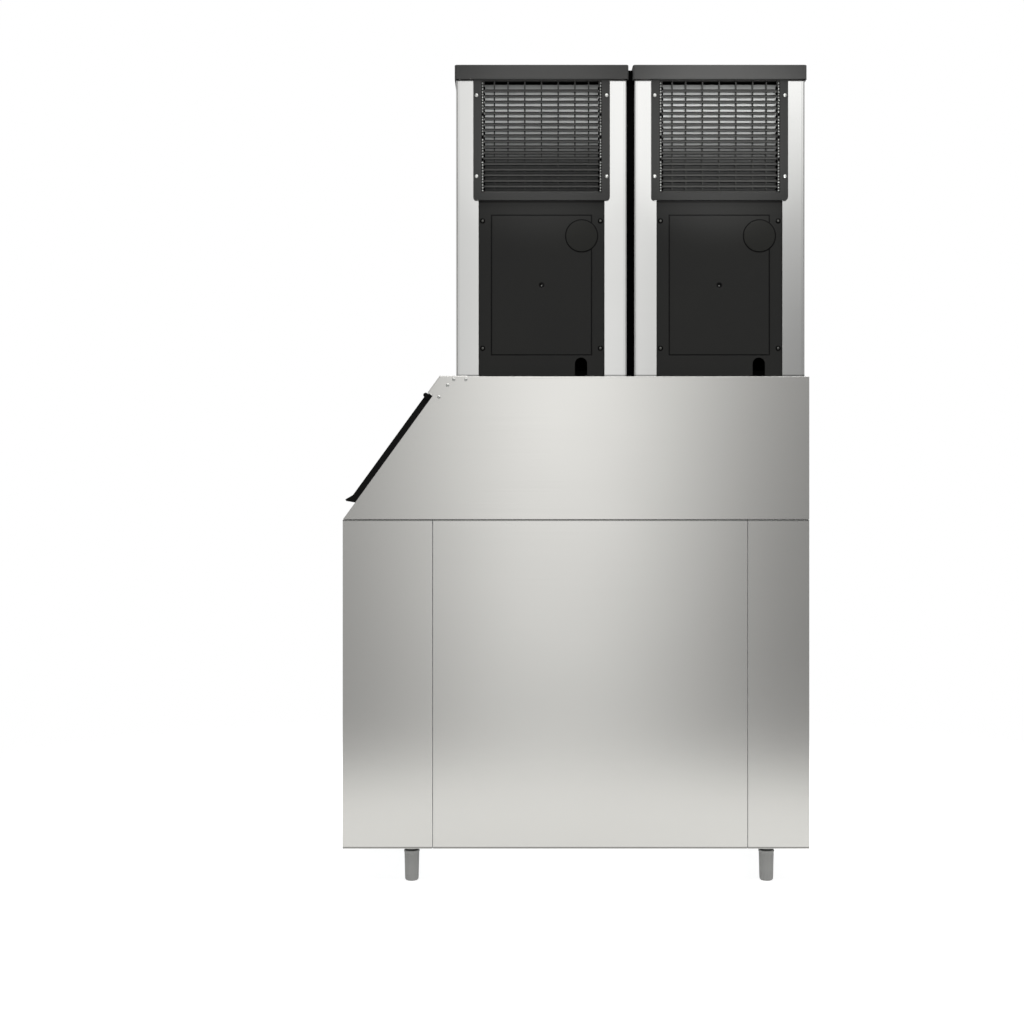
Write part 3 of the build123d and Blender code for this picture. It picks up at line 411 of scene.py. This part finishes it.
def make_plated_steel(name, base, worn):
    """Plated steel: a smooth metal skin with small duller blotches."""
    material, tree, shader, place = new_material(name)
    shader.inputs["Metallic"].default_value = 1.0
    blotches = add(
        tree, "TexNoise", {"Vector": place}, in_Scale=1 / (PLATING_BLOTCH * MM), in_Detail=2.0,
    ).outputs[0]
    colour = add(
        tree, "Mix", {"Factor": blotches}, data_type="RGBA", in_A=linear(base), in_B=linear(worn),
    ).outputs["Result"]
    tree.links.new(colour, shader.inputs["Base Color"])
    rough = add(
        tree, "MapRange", {"Value": blotches}, in_3=PLATING_ROUGHNESS[0], in_4=PLATING_ROUGHNESS[1],
    ).outputs[0]
    tree.links.new(rough, shader.inputs["Roughness"])
    return material


def make_condenser_fins():
    """Aluminium fin pack: thin upright fins with painted shade in the gaps between them, random dust
    blotches, painted shade towards the bottom and a painted shadow under the grille's top.

    Real fins stand about 2 mm apart. They are drawn about 4 mm apart, so that they show.
    """
    material, tree, shader, place = new_material("aluminium_fins")
    shader.inputs["Metallic"].default_value = 0.15
    shader.inputs["Roughness"].default_value = 0.6
    shader.inputs["Specular IOR Level"].default_value = 0.15
    fins = add(
        tree, "TexWave", {"Vector": place}, wave_type="BANDS", bands_direction="X",
        in_Scale=WAVE_LENGTH / (FIN_PITCH * MM), in_Distortion=0.0,
    ).outputs["Fac"]
    height = add(tree, "SeparateXYZ", {0: place}).outputs["Z"]
    low, high = [corner[2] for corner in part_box("left_head_condenser")]
    # Painted shade that darkens the fins towards the bottom
    lower_shade = add(
        tree, "MapRange", {"Value": height}, interpolation_type="SMOOTHSTEP",
        in_1=low + SHADED_BELOW * (high - low), in_2=low + LIT_ABOVE * (high - low),
        in_3=FIN_FOOT_SHADE, in_4=1.0,
    ).outputs[0]
    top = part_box("left_head_grille")[1][2]
    # A painted shadow of the grille's top across the top of the fins
    header_shadow = add(
        tree, "MapRange", {"Value": height}, interpolation_type="SMOOTHSTEP",
        in_1=top - HEADER_SHADOW_START * MM, in_2=top - HEADER_SHADOW_END * MM, in_3=1.0, in_4=HEADER_SHADOW_TONE,
    ).outputs[0]
    blotches = add(
        tree, "TexNoise", {"Vector": place}, in_Scale=1 / (DUST_BLOTCH * MM), in_Detail=3.0,
    ).outputs[0]
    dust = add(
        tree, "MapRange", {"Value": blotches}, in_1=NOISE_LOW, in_2=NOISE_HIGH, in_3=DUST_TONE, in_4=1.0,
    ).outputs[0]
    lit_and_dusty = add(tree, "MapRange", {"Value": fins}, in_3=FIN_GAP_SHADE, in_4=1.0).outputs[0]
    for tone in (dust, lower_shade, header_shadow):
        lit_and_dusty = add(tree, "Math", {0: lit_and_dusty, 1: tone}, operation="MULTIPLY").outputs[0]
    colour = add(
        tree, "Mix", {"Factor": lit_and_dusty}, data_type="RGBA", in_A=linear("#0c0c0b"), in_B=linear("#f2f4f2"),
    ).outputs["Result"]
    tree.links.new(colour, shader.inputs["Base Color"])
    bump = add(tree, "Bump", {"Height": fins}, in_Strength=0.3, in_Distance=FIN_RELIEF * MM).outputs[0]
    tree.links.new(bump, shader.inputs["Normal"])
    return material


def dress(material, *names):
    """Gives a material to every CAD node of the named material slots, or of that name."""
    for row in frame["record"]["subparts"]:
        if row["material_slot"] in names or row["node"] in names:
            node = frame["nodes"][row["node"]]
            node.data.materials.clear()
            node.data.materials.append(material)


def head_fold_shades():
    """Painted shade on the heads' steel: a painted shadow where it meets the deck, and a little painted
    shade along each fold.
    """
    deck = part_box("top_deck")[1][2] / MM
    shades = [(FOOT_SHADOW_TONE, ("Z", deck + FOOT[0], deck + FOOT[1]))]
    for head in HEADS:
        left, front = [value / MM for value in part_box(head + "_head_side_left")[0][:2]]
        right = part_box(head + "_head_side_right")[1][0] / MM
        face = ("Y", front - FOLD_MARGIN, front + SHEET)
        shades.append((FOLD_SHADE_TONE, ("X", left - FOLD_MARGIN, left + FOLD), face))
        shades.append((FOLD_SHADE_TONE, ("X", right - FOLD - FOLD_MARGIN, right), face))
    return shades


def dress_steel():
    """The bright sheet of the bin and the heads, and the dull sheet inside."""
    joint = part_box("cabinet_side_middle_near")[1][2] / MM
    hem = (HEM_SHADOW_TONE, ("Z", *HEM))
    seam = (SEAM_TONE, ("Z", joint + SEAM[0], joint + SEAM[1]))
    # Warm bright steel that mirrors the studio softly, with a painted shadow line at its hem and a dark
    # seam
    dress(
        make_brushed_stainless(
            "brushed_stainless_bin", "#dddcd8", "#d4d3cf", 0.17, BRUSH_LINE, [hem, seam],
        ),
        "bin_steel",
    )
    # The same sheet a little darker and cooler, with a painted shadow at the deck and painted shade along
    # its folds
    dress(
        make_brushed_stainless(
            "brushed_stainless_head", "#d7d7d5", "#d0d0ce", 0.17, BRUSH_LINE, head_fold_shades(),
        ),
        "head_steel", "rod_steel", "bright_screw", "evaporator_plate",
    )
    # Grey zinc-coated sheet with a matt, faintly spangled skin
    dress(
        make_brushed_stainless("galvanised_sheet", "#b7babb", "#9da1a2", 0.45, SPANGLE),
        "galvanised", "frame_steel",
    )


def dress_lids_and_grilles():
    """The heads' lids and grilles, each with its own depth of black, set by painted light and shade: the
    right lid paler, the right grille's frame darker, the slats paler.
    """
    for head in HEADS:
        # Matt black plastic with a fine spark grain
        lid = make_moulded(
            "black_abs_lid_" + head, *LID_LIT_COLOURS[head], roughness=0.5, grain=1.6, relief=0.25,
            specular=0.2,
        )
        dress(lid, head + "_head_lid")
        low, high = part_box(head + "_head_grille")
        middle = (low[0] + high[0]) / 2 / MM
        slats = (
            SLAT_LIGHT_TONE[head], ("X", middle - SLOT_SPREAD, middle + SLOT_SPREAD),
            ("Z", low[2] / MM + OPENING_FOOT, high[2] / MM - OPENING_TOP),
        )
        # The same plastic, with painted light that makes the slats paler than the frame, more on the
        # right head
        grille = make_moulded(
            "black_abs_grille_" + head, *GRILLE_SHADED_COLOURS[head], roughness=0.5, grain=1.6, relief=0.25,
            specular=0.2, shades=[slats],
        )
        dress(grille, head + "_head_grille")


def dress_service_panels():
    """The black sheets below the grilles, with painted shade in their grooves and a painted shadow under
    the grilles' edge.
    """
    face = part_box("left_head_service_panel")[0][1] / MM
    groove = (GROOVE_SHADE_TONE, ("Y", face + GROOVE[0], face + GROOVE[1]))
    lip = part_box("left_head_grille")[0][2] / MM
    under_lip = (UNDER_LIP_SHADOW_TONE, ("Z", lip - UNDER_LIP, lip + UNDER_LIP))
    # Sprayed and baked black, dead matt, with painted shade in the grooves and a painted shadow under the
    # grilles' lip
    black_with_shade = make_moulded(
        "black_powder_coat", "#222222", "#292927", roughness=0.5, grain=1.2, relief=0.2,
        specular=0.15, shades=[groove, under_lip],
    )
    dress(black_with_shade, "panel_paint", "black_screw")


def dress_door_and_covers():
    """The bin's door with its gasket, the round covers and the fans, the painted machinery, and the
    bulkheads black as painted shade.
    """
    # Deep black paint with a low sheen on the machinery, and painted shade on the bulkheads that keeps
    # the inside of the heads dark
    enamel_and_shade = make_moulded(
        "black_enamel_and_shade", "#080808", "#0c0c0c", roughness=0.4, grain=1.5, relief=0.1, specular=0.2,
    )
    dress(enamel_and_shade, "motor_paint", "compressor_paint", "left_head_bulkhead", "right_head_bulkhead")
    # Soft waxy black plastic
    cover = make_moulded(
        "black_polypropylene", "#232321", "#292927", roughness=0.5, grain=1.5, relief=0.2,
        specular=0.12,
    )
    dress(cover, "port_plastic", "fan_plastic")
    # Deeper black plastic with a coarse grain that swallows the light
    door = make_moulded(
        "black_polyethylene_door", "#111110", "#161615", roughness=0.55, grain=2.0, relief=0.2,
        specular=0.08,
    )
    dress(door, "door_plastic", "bracket_plastic", "hinge_rod")
    # Dull black rubber
    rubber = make_moulded(
        "black_rubber_gasket", "#121212", "#1a1a1a", roughness=0.7, grain=2.0, relief=0.2,
        specular=0.2,
    )
    dress(rubber, "gasket_rubber")


def dress_inside():
    """The pale tub, trough and curtains, the fin packs and the heads' pans."""
    # Milky plastic with a soft gloss
    pale = make_moulded(
        "pale_polyethylene", "#dfe3e5", "#e9edee", roughness=0.45, grain=2.5, relief=0.2,
    )
    dress(pale, "tub_plastic", "drain_plastic", "trough_plastic", "curtain_plastic")
    dress(make_condenser_fins(), "condenser_fins")
    # A black without any shine: painted shade, so that the edge of the pan reads as a dark gap
    black_with_shade = make_moulded(
        "black_pan_shade", "#020202", "#030303", roughness=0.7, grain=1.5, relief=0.1,
        specular=0.02,
    )
    dress(black_with_shade, *[head + "_head_base_pan" for head in HEADS])


# Modelled details
def turn_up(name, sides, profile, radius=1.0, height=1.0):
    """A turned shape on the Z axis: a disc that is extruded and resized from step to step.

    Each step of the profile is a radius and a level, in shares of the given radius and height in mm.
    """
    steps = [(share * radius * MM, level * height * MM) for share, level in profile]
    reach, level = steps[0]
    bpy.ops.object.select_all(action="DESELECT")
    bpy.ops.mesh.primitive_circle_add(
        vertices=sides, radius=reach, fill_type="NGON", location=(0, 0, level),
    )
    shape = bpy.context.object
    shape.name = name
    bpy.ops.object.transform_apply(location=True)
    bpy.ops.object.mode_set(mode="EDIT")
    for next_reach, next_level in steps[1:]:
        ratio = next_reach / reach
        bpy.ops.mesh.extrude_region_move(TRANSFORM_OT_translate={"value": (0, 0, next_level - level)})
        bpy.ops.transform.resize(value=(ratio, ratio, 1), center_override=(0, 0, next_level))
        reach, level = next_reach, next_level
    bpy.ops.mesh.select_all(action="SELECT")
    bpy.ops.mesh.normals_make_consistent(inside=False)
    bpy.ops.object.mode_set(mode="OBJECT")
    return shape


def reshape(piece, factors):
    """Stretches or flattens a piece about the origin."""
    bpy.context.view_layer.objects.active = piece
    bpy.ops.object.mode_set(mode="EDIT")
    bpy.ops.mesh.select_all(action="SELECT")
    bpy.ops.transform.resize(value=factors, center_override=(0, 0, 0))
    bpy.ops.object.mode_set(mode="OBJECT")


def spread(pattern, name, places):
    """One piece made of copies of a pattern, each at its place and turn. The pattern is removed."""
    copies = []
    for location, turn in places:
        copy = pattern.copy()
        copy.data = pattern.data.copy()
        copy.location = location
        copy.rotation_euler = turn
        bpy.context.scene.collection.objects.link(copy)
        copies.append(copy)
    bpy.data.objects.remove(pattern)
    bpy.ops.object.select_all(action="DESELECT")
    for copy in copies:
        copy.select_set(True)
    bpy.context.view_layer.objects.active = copies[0]
    bpy.ops.object.join()
    bpy.ops.object.transform_apply(location=True, rotation=True, scale=True)
    copies[0].name = name
    return copies[0]


def fit(piece, material, slot, body, *nodes):
    """Gives a piece its finish and its body, and hides the CAD nodes that it stands for."""
    piece.data.materials.clear()
    piece.data.materials.append(material)
    bpy.ops.object.select_all(action="DESELECT")
    piece.select_set(True)
    bpy.context.view_layer.objects.active = piece
    bpy.ops.object.shade_smooth_by_angle(angle=math.radians(SMOOTH_ANGLE))
    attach(piece, body)
    if nodes:
        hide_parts(*nodes)


def screw_places(node):
    """Where each screw of a node sits, and the turn that lays it on its side of the object."""
    groups = []
    for vertex in frame["nodes"][node].data.vertices:
        spot = vertex.co.copy()
        for group in groups:
            if (spot - group[0]).length < SCREW_SPAN * MM:
                group.append(spot)
                break
        else:
            groups.append([spot])
    places = []
    for group in groups:
        middle = [(min(axis) + max(axis)) / 2 for axis in zip(*group)]
        side = -1 if middle[1] < 0 else 1
        face = max(side * spot[1] for spot in group) - SCREW_HEIGHT * MM
        places.append(((middle[0], side * face, middle[2]), (-side * math.pi / 2, 0, 0)))
    return places


def make_screw(name, radius):
    """A pan-head screw that stands on its back, with a cross recess cut into its crown."""
    rim = [(radius - SCREW_EDGE, 0), (radius, SCREW_EDGE)]
    crown = [(share * radius, level * SCREW_HEIGHT) for share, level in SCREW_CROWN]
    head = turn_up(name, SCREW_SIDES, rim + crown)
    top = (0, 0, SCREW_HEIGHT * MM)
    width = CROSS_WIDTH * radius
    length = CROSS_LENGTH * radius
    bpy.ops.object.select_all(action="DESELECT")
    bpy.ops.mesh.primitive_cube_add(size=MM, location=top)
    cutter = bpy.context.object
    bpy.ops.object.mode_set(mode="EDIT")
    bpy.ops.transform.resize(value=(width, length, CROSS_LENGTH * SCREW_HEIGHT), center_override=top)
    bpy.ops.mesh.duplicate()
    bpy.ops.transform.resize(value=(length / width, width / length, 1), center_override=top)
    bpy.ops.object.mode_set(mode="OBJECT")
    cross = head.modifiers.new("cross", "BOOLEAN")
    cross.operation = "DIFFERENCE"
    cross.use_self = True
    cross.object = cutter
    bpy.context.view_layer.objects.active = head
    bpy.ops.object.modifier_apply(modifier="cross")
    bpy.data.objects.remove(cutter)
    return head


def make_screws(bright, dark, black):
    """The bright screws, the panels' dark screws in black cups that stand in for their dimples' shade,
    and one in each dish.
    """
    heads = spread(
        make_screw("bright_screw", SCREW_RADIUS), "bright_screw_heads", screw_places("bright_screws"),
    )
    fit(heads, bright, "bright_screw", "cabinet", "bright_screws")
    places = screw_places("panel_screws")
    cup = turn_up("cup", SCREW_SIDES, CUP_PROFILE, radius=CUP_RADIUS)
    fit(spread(cup, "panel_screw_shade_cups", places), black, "black_screw", "cabinet", "panel_screws")
    heads = spread(make_screw("panel_screw", CUP_SCREW_RADIUS), "panel_screw_heads", places)
    fit(heads, dark, "black_screw", "cabinet")
    dishes = []
    for head in HEADS:
        low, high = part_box(head + "_head_service_panel")
        middle = (low[0] + high[0]) / 2
        dish = (middle, low[1] + DISH_DEPTH * MM, low[2] + DISH_HEIGHT * MM)
        dishes.append((dish, TO_SERVICE_SIDE))
    heads = spread(make_screw("dish_screw", DISH_SCREW_RADIUS), "dish_screw_heads", dishes)
    fit(heads, bright, "black_screw", "cabinet")


def make_bead_strips(head, plated, black):
    """The small studs beside the slats, and black plates that stand in for the shade in the notches
    between them and in the slots next to them.
    """
    low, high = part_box(head + "_head_grille")
    middle = (low[0] + high[0]) / 2
    face = low[1] + LEDGE_DEPTH * MM
    top = high[2] - BEAD_TOP * MM
    beads = []
    notches = []
    slots = []
    for side in (-1, 1):
        across = middle + side * BEAD_SPREAD * MM
        for number in range(BEAD_COUNT):
            place = (across, face, top - number * BEAD_PITCH * MM)
            row = notches if number in NOTCHES else beads
            row.append((place, TO_SERVICE_SIDE))
        across = middle + side * SLOT_SPREAD * MM
        for number in range(SLOT_COUNT):
            place = (across, face, top - (number + SLOT_START) * SLOT_PITCH * MM)
            slots.append((place, TO_SERVICE_SIDE))
    bead = turn_up("bead", BEAD_SIDES, BEAD_PROFILE, radius=BEAD_RADIUS, height=BEAD_REACH)
    fit(spread(bead, head + "_head_bead_strips", beads), plated, "bright_screw", "cabinet")
    notch = turn_up("notch", PLATE_SIDES, PLATE_PROFILE, radius=NOTCH_RADIUS)
    fit(spread(notch, head + "_head_bead_notches", notches), black, "black_screw", "cabinet")
    slot = turn_up("slot", PLATE_SIDES, PLATE_PROFILE, radius=SLOT_RADIUS)
    reshape(slot, SLOT_SHAPE)
    fit(spread(slot, head + "_head_bead_slots", slots), black, "black_screw", "cabinet")


def make_port_shade_ring(head, black):
    """A flat black ring that stands in for the shaded gap round the spare pipe hole's cover, as a thin
    dark line.
    """
    low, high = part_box(head + "_head_port_cover")
    radius = (high[0] - low[0]) / 2
    segments, sides = PORT_RING_SEGMENTS
    bpy.ops.object.select_all(action="DESELECT")
    bpy.ops.mesh.primitive_torus_add(
        major_segments=segments, minor_segments=sides,
        major_radius=radius + PORT_RING * MM, minor_radius=PORT_RING * MM,
    )
    ring = bpy.context.object
    reshape(ring, (1, 1, PORT_RING_FLATNESS))
    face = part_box(head + "_head_service_panel")[0][1]
    place = ((low[0] + high[0]) / 2, face, (low[2] + high[2]) / 2)
    ring = spread(ring, head + "_head_port_shade_ring", [(place, TO_SERVICE_SIDE)])
    fit(ring, black, "gasket_rubber", "cabinet")


def make_gap_shade_strip(black):
    """An upright black strip that stands in for the shade in the gap between the heads, a little behind
    their faces.
    """
    left_low, left_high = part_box("left_head_side_right")
    right_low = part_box("right_head_side_left")[0]
    front = left_low[1] + GAP_SHADE_DEPTH * MM
    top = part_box("left_head_lid")[1][2] - GAP_SHADE_THICKNESS * MM
    low = (left_high[0], front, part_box("top_deck")[1][2])
    high = (right_low[0], front + GAP_SHADE_THICKNESS * MM, top)
    middle = [(a + b) / 2 for a, b in zip(low, high)]
    bpy.ops.object.select_all(action="DESELECT")
    bpy.ops.mesh.primitive_cube_add(size=1, location=middle)
    strip = bpy.context.object
    strip.name = "head_gap_shade_strip"
    bpy.ops.object.transform_apply(location=True)
    bpy.ops.object.mode_set(mode="EDIT")
    bpy.ops.transform.resize(value=[b - a for a, b in zip(low, high)], center_override=middle)
    bpy.ops.mesh.bevel(offset=GAP_SHADE_ROUNDING * MM, segments=GAP_SHADE_SEGMENTS)
    bpy.ops.object.mode_set(mode="OBJECT")
    fit(strip, black, "gasket_rubber", "cabinet")


def leg_steps():
    """The steps of a leg from its foot to its stud, with a thread up the stud."""
    steps = list(LEG_PROFILE)
    level = THREAD_START
    while level < THREAD_END:
        steps += [(THREAD_CREST, level), (THREAD_ROOT, level + THREAD_PITCH / 2)]
        level += THREAD_PITCH
    return steps + list(STUD_END)


def press_flutes(leg):
    """Pulls every few points of a leg inwards at the flutes' ends, so that it is fluted there."""
    ends = [level * MM for level in FLUTE_ENDS]
    step = LEG_SIDES // LEG_FLUTES
    bpy.ops.object.mode_set(mode="EDIT")
    bpy.ops.mesh.select_mode(type="VERT")
    bpy.ops.mesh.select_all(action="DESELECT")
    bpy.ops.object.mode_set(mode="OBJECT")
    for vertex in leg.data.vertices:
        turn = round(math.atan2(vertex.co.x, vertex.co.y) / (2 * math.pi) * LEG_SIDES)
        at_end = any(abs(vertex.co.z - end) < FLUTE_MARGIN * MM for end in ends)
        vertex.select = at_end and turn % step == 0
    bpy.ops.object.mode_set(mode="EDIT")
    bpy.ops.transform.resize(value=(FLUTE_SHARE, FLUTE_SHARE, 1), center_override=(0, 0, 0))
    bpy.ops.object.mode_set(mode="OBJECT")


def make_leg(corner, paint):
    """A levelling leg: rounded foot, short flutes above it and below the ring, collar, stud."""
    low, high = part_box("leg_" + corner)
    leg = turn_up("leg_" + corner, LEG_SIDES, leg_steps())
    press_flutes(leg)
    middle = ((low[0] + high[0]) / 2, (low[1] + high[1]) / 2, 0)
    leg = spread(leg, "leg_" + corner + "_turned", [(middle, (0, 0, 0))])
    fit(leg, paint, "leg_grey", corner + "_leg", "leg_" + corner)


def make_details():
    """The small pieces that ride on the solids, with their finishes."""
    # Silvery screws that catch the lamps
    bright = make_plated_steel("zinc_plated_steel", "#cfd0cd", "#b0b1ad")
    # Studs of the same plating gone dull
    dull = make_plated_steel("dull_zinc_plated_steel", "#b4b5b2", "#8f908d")
    # Dark grey metal with a faint shine
    dark = make_plated_steel("black_oxide_steel", "#6c6c69", "#51514e")
    # A thin line a little blacker than the panel: painted shade round the port covers
    gasket = make_moulded(
        "thin_shade_black", "#0b0b0b", "#0f0f0f", roughness=0.7, grain=2.0, relief=0.1, specular=0.1,
    )
    # A black that gives no light back: painted shade in the gap between the heads, in the screws' cups
    # and in the bead strips' notches and slots
    shade_black = make_moulded(
        "painted_shade_black", "#020202", "#030303", roughness=0.8, grain=2.0, relief=0.1, specular=0.02,
    )
    # Mid-grey paint with a soft gloss, with a painted shadow at the neck under the collar
    paint = make_moulded(
        "grey_leg_paint", "#9b9b99", "#a5a5a3", roughness=0.4, grain=1.5, relief=0.2, specular=0.2,
        shades=[(LEG_NECK_SHADOW_TONE, ("Z", *LEG_NECK))],
    )
    make_screws(bright, dark, shade_black)
    for head in HEADS:
        make_bead_strips(head, dull, shade_black)
        make_port_shade_ring(head, gasket)
    make_gap_shade_strip(shade_black)
    for corner in CORNERS:
        make_leg(corner, paint)


# Studio
def add_floor():
    """A wide pale floor that glows softly, as a light table does, and melts into the backdrop."""
    bpy.ops.object.select_all(action="DESELECT")
    bpy.ops.mesh.primitive_circle_add(
        vertices=FLOOR_SIDES, radius=FLOOR_RADIUS, fill_type="NGON", location=(0, 0, 0),
    )
    floor = bpy.context.object
    floor.name = "floor"
    # White acrylic lit from below
    material, tree, shader, place = new_material("pale_floor")
    shader.inputs["Base Color"].default_value = linear("#b4b4b3")
    shader.inputs["Roughness"].default_value = 0.8
    shader.inputs["Emission Color"].default_value = linear("#ffffff")
    seen = add(tree, "LightPath").outputs["Is Camera Ray"]
    glow = add(tree, "MapRange", {"Value": seen}, in_3=FLOOR_GLOW, in_4=FLOOR_WHITE).outputs[0]
    tree.links.new(glow, shader.inputs["Emission Strength"])
    reach = add(tree, "VectorMath", {0: place}, operation="LENGTH").outputs["Value"]
    solid = add(
        tree, "MapRange", {"Value": reach}, interpolation_type="SMOOTHSTEP",
        in_1=FLOOR_SOLID, in_2=FLOOR_GONE, in_3=1.0, in_4=0.0,
    ).outputs[0]
    tree.links.new(solid, shader.inputs["Alpha"])
    floor.data.materials.append(material)


def set_world():
    """A studio of soft white panels that only reflections and surfaces see, before a white backdrop.

    A panel's middle and reach are given across and up, for each metre of distance.
    """
    world = bpy.data.worlds.new("studio")
    bpy.context.scene.world = world
    world.use_nodes = True
    tree = world.node_tree
    tree.nodes.clear()
    direction = add(tree, "SeparateXYZ", {0: add(tree, "TexCoord").outputs["Generated"]}).outputs
    depth = add(tree, "Math", {0: direction["Y"]}, operation="ABSOLUTE").outputs[0]
    depth = add(tree, "Math", {0: depth}, operation="MAXIMUM", in_1=LEAST_DEPTH).outputs[0]
    across = add(tree, "Math", {0: direction["X"], 1: depth}, operation="DIVIDE").outputs[0]
    up = add(tree, "Math", {0: direction["Z"], 1: depth}, operation="DIVIDE").outputs[0]
    far_side = add(tree, "Math", {0: direction["Y"]}, operation="GREATER_THAN", in_1=0.0).outputs[0]
    spot = add(tree, "CombineXYZ", {"X": across, "Y": up, "Z": far_side}).outputs[0]
    light = add(tree, "Math", {0: direction["X"], 1: direction["X"]}, operation="MULTIPLY").outputs[0]
    light = add(
        tree, "Math", {0: light}, operation="MULTIPLY_ADD", in_1=END_LIGHT, in_2=ROOM_LIGHT,
    ).outputs[0]
    for middle, reach, strength in PANELS:
        away = add(
            tree, "Mapping", {"Vector": spot}, vector_type="TEXTURE",
            in_Location=middle, in_Scale=(*reach, SIDE_REACH),
        ).outputs[0]
        away = add(tree, "VectorMath", {0: away}, operation="LENGTH").outputs["Value"]
        glow = add(
            tree, "MapRange", {"Value": away}, interpolation_type="SMOOTHSTEP",
            in_1=1.0, in_2=0.0, in_3=0.0, in_4=strength,
        ).outputs[0]
        light = add(tree, "Math", {0: light, 1: glow}).outputs[0]
    seen = add(tree, "LightPath").outputs["Is Camera Ray"]
    strength = add(tree, "MapRange", {"Value": seen, 3: light}, in_4=1.0).outputs[0]
    back = add(tree, "Background", {"Strength": strength}, in_Color=(1.0, 1.0, 1.0, 1.0)).outputs[0]
    add(tree, "OutputWorld", {"Surface": back})
    bpy.context.scene.view_settings.view_transform = "Standard"


place_camera()
add_lamps()
set_world()
add_floor()
dress_steel()
dress_lids_and_grilles()
dress_service_panels()
dress_door_and_covers()
dress_inside()
make_details()
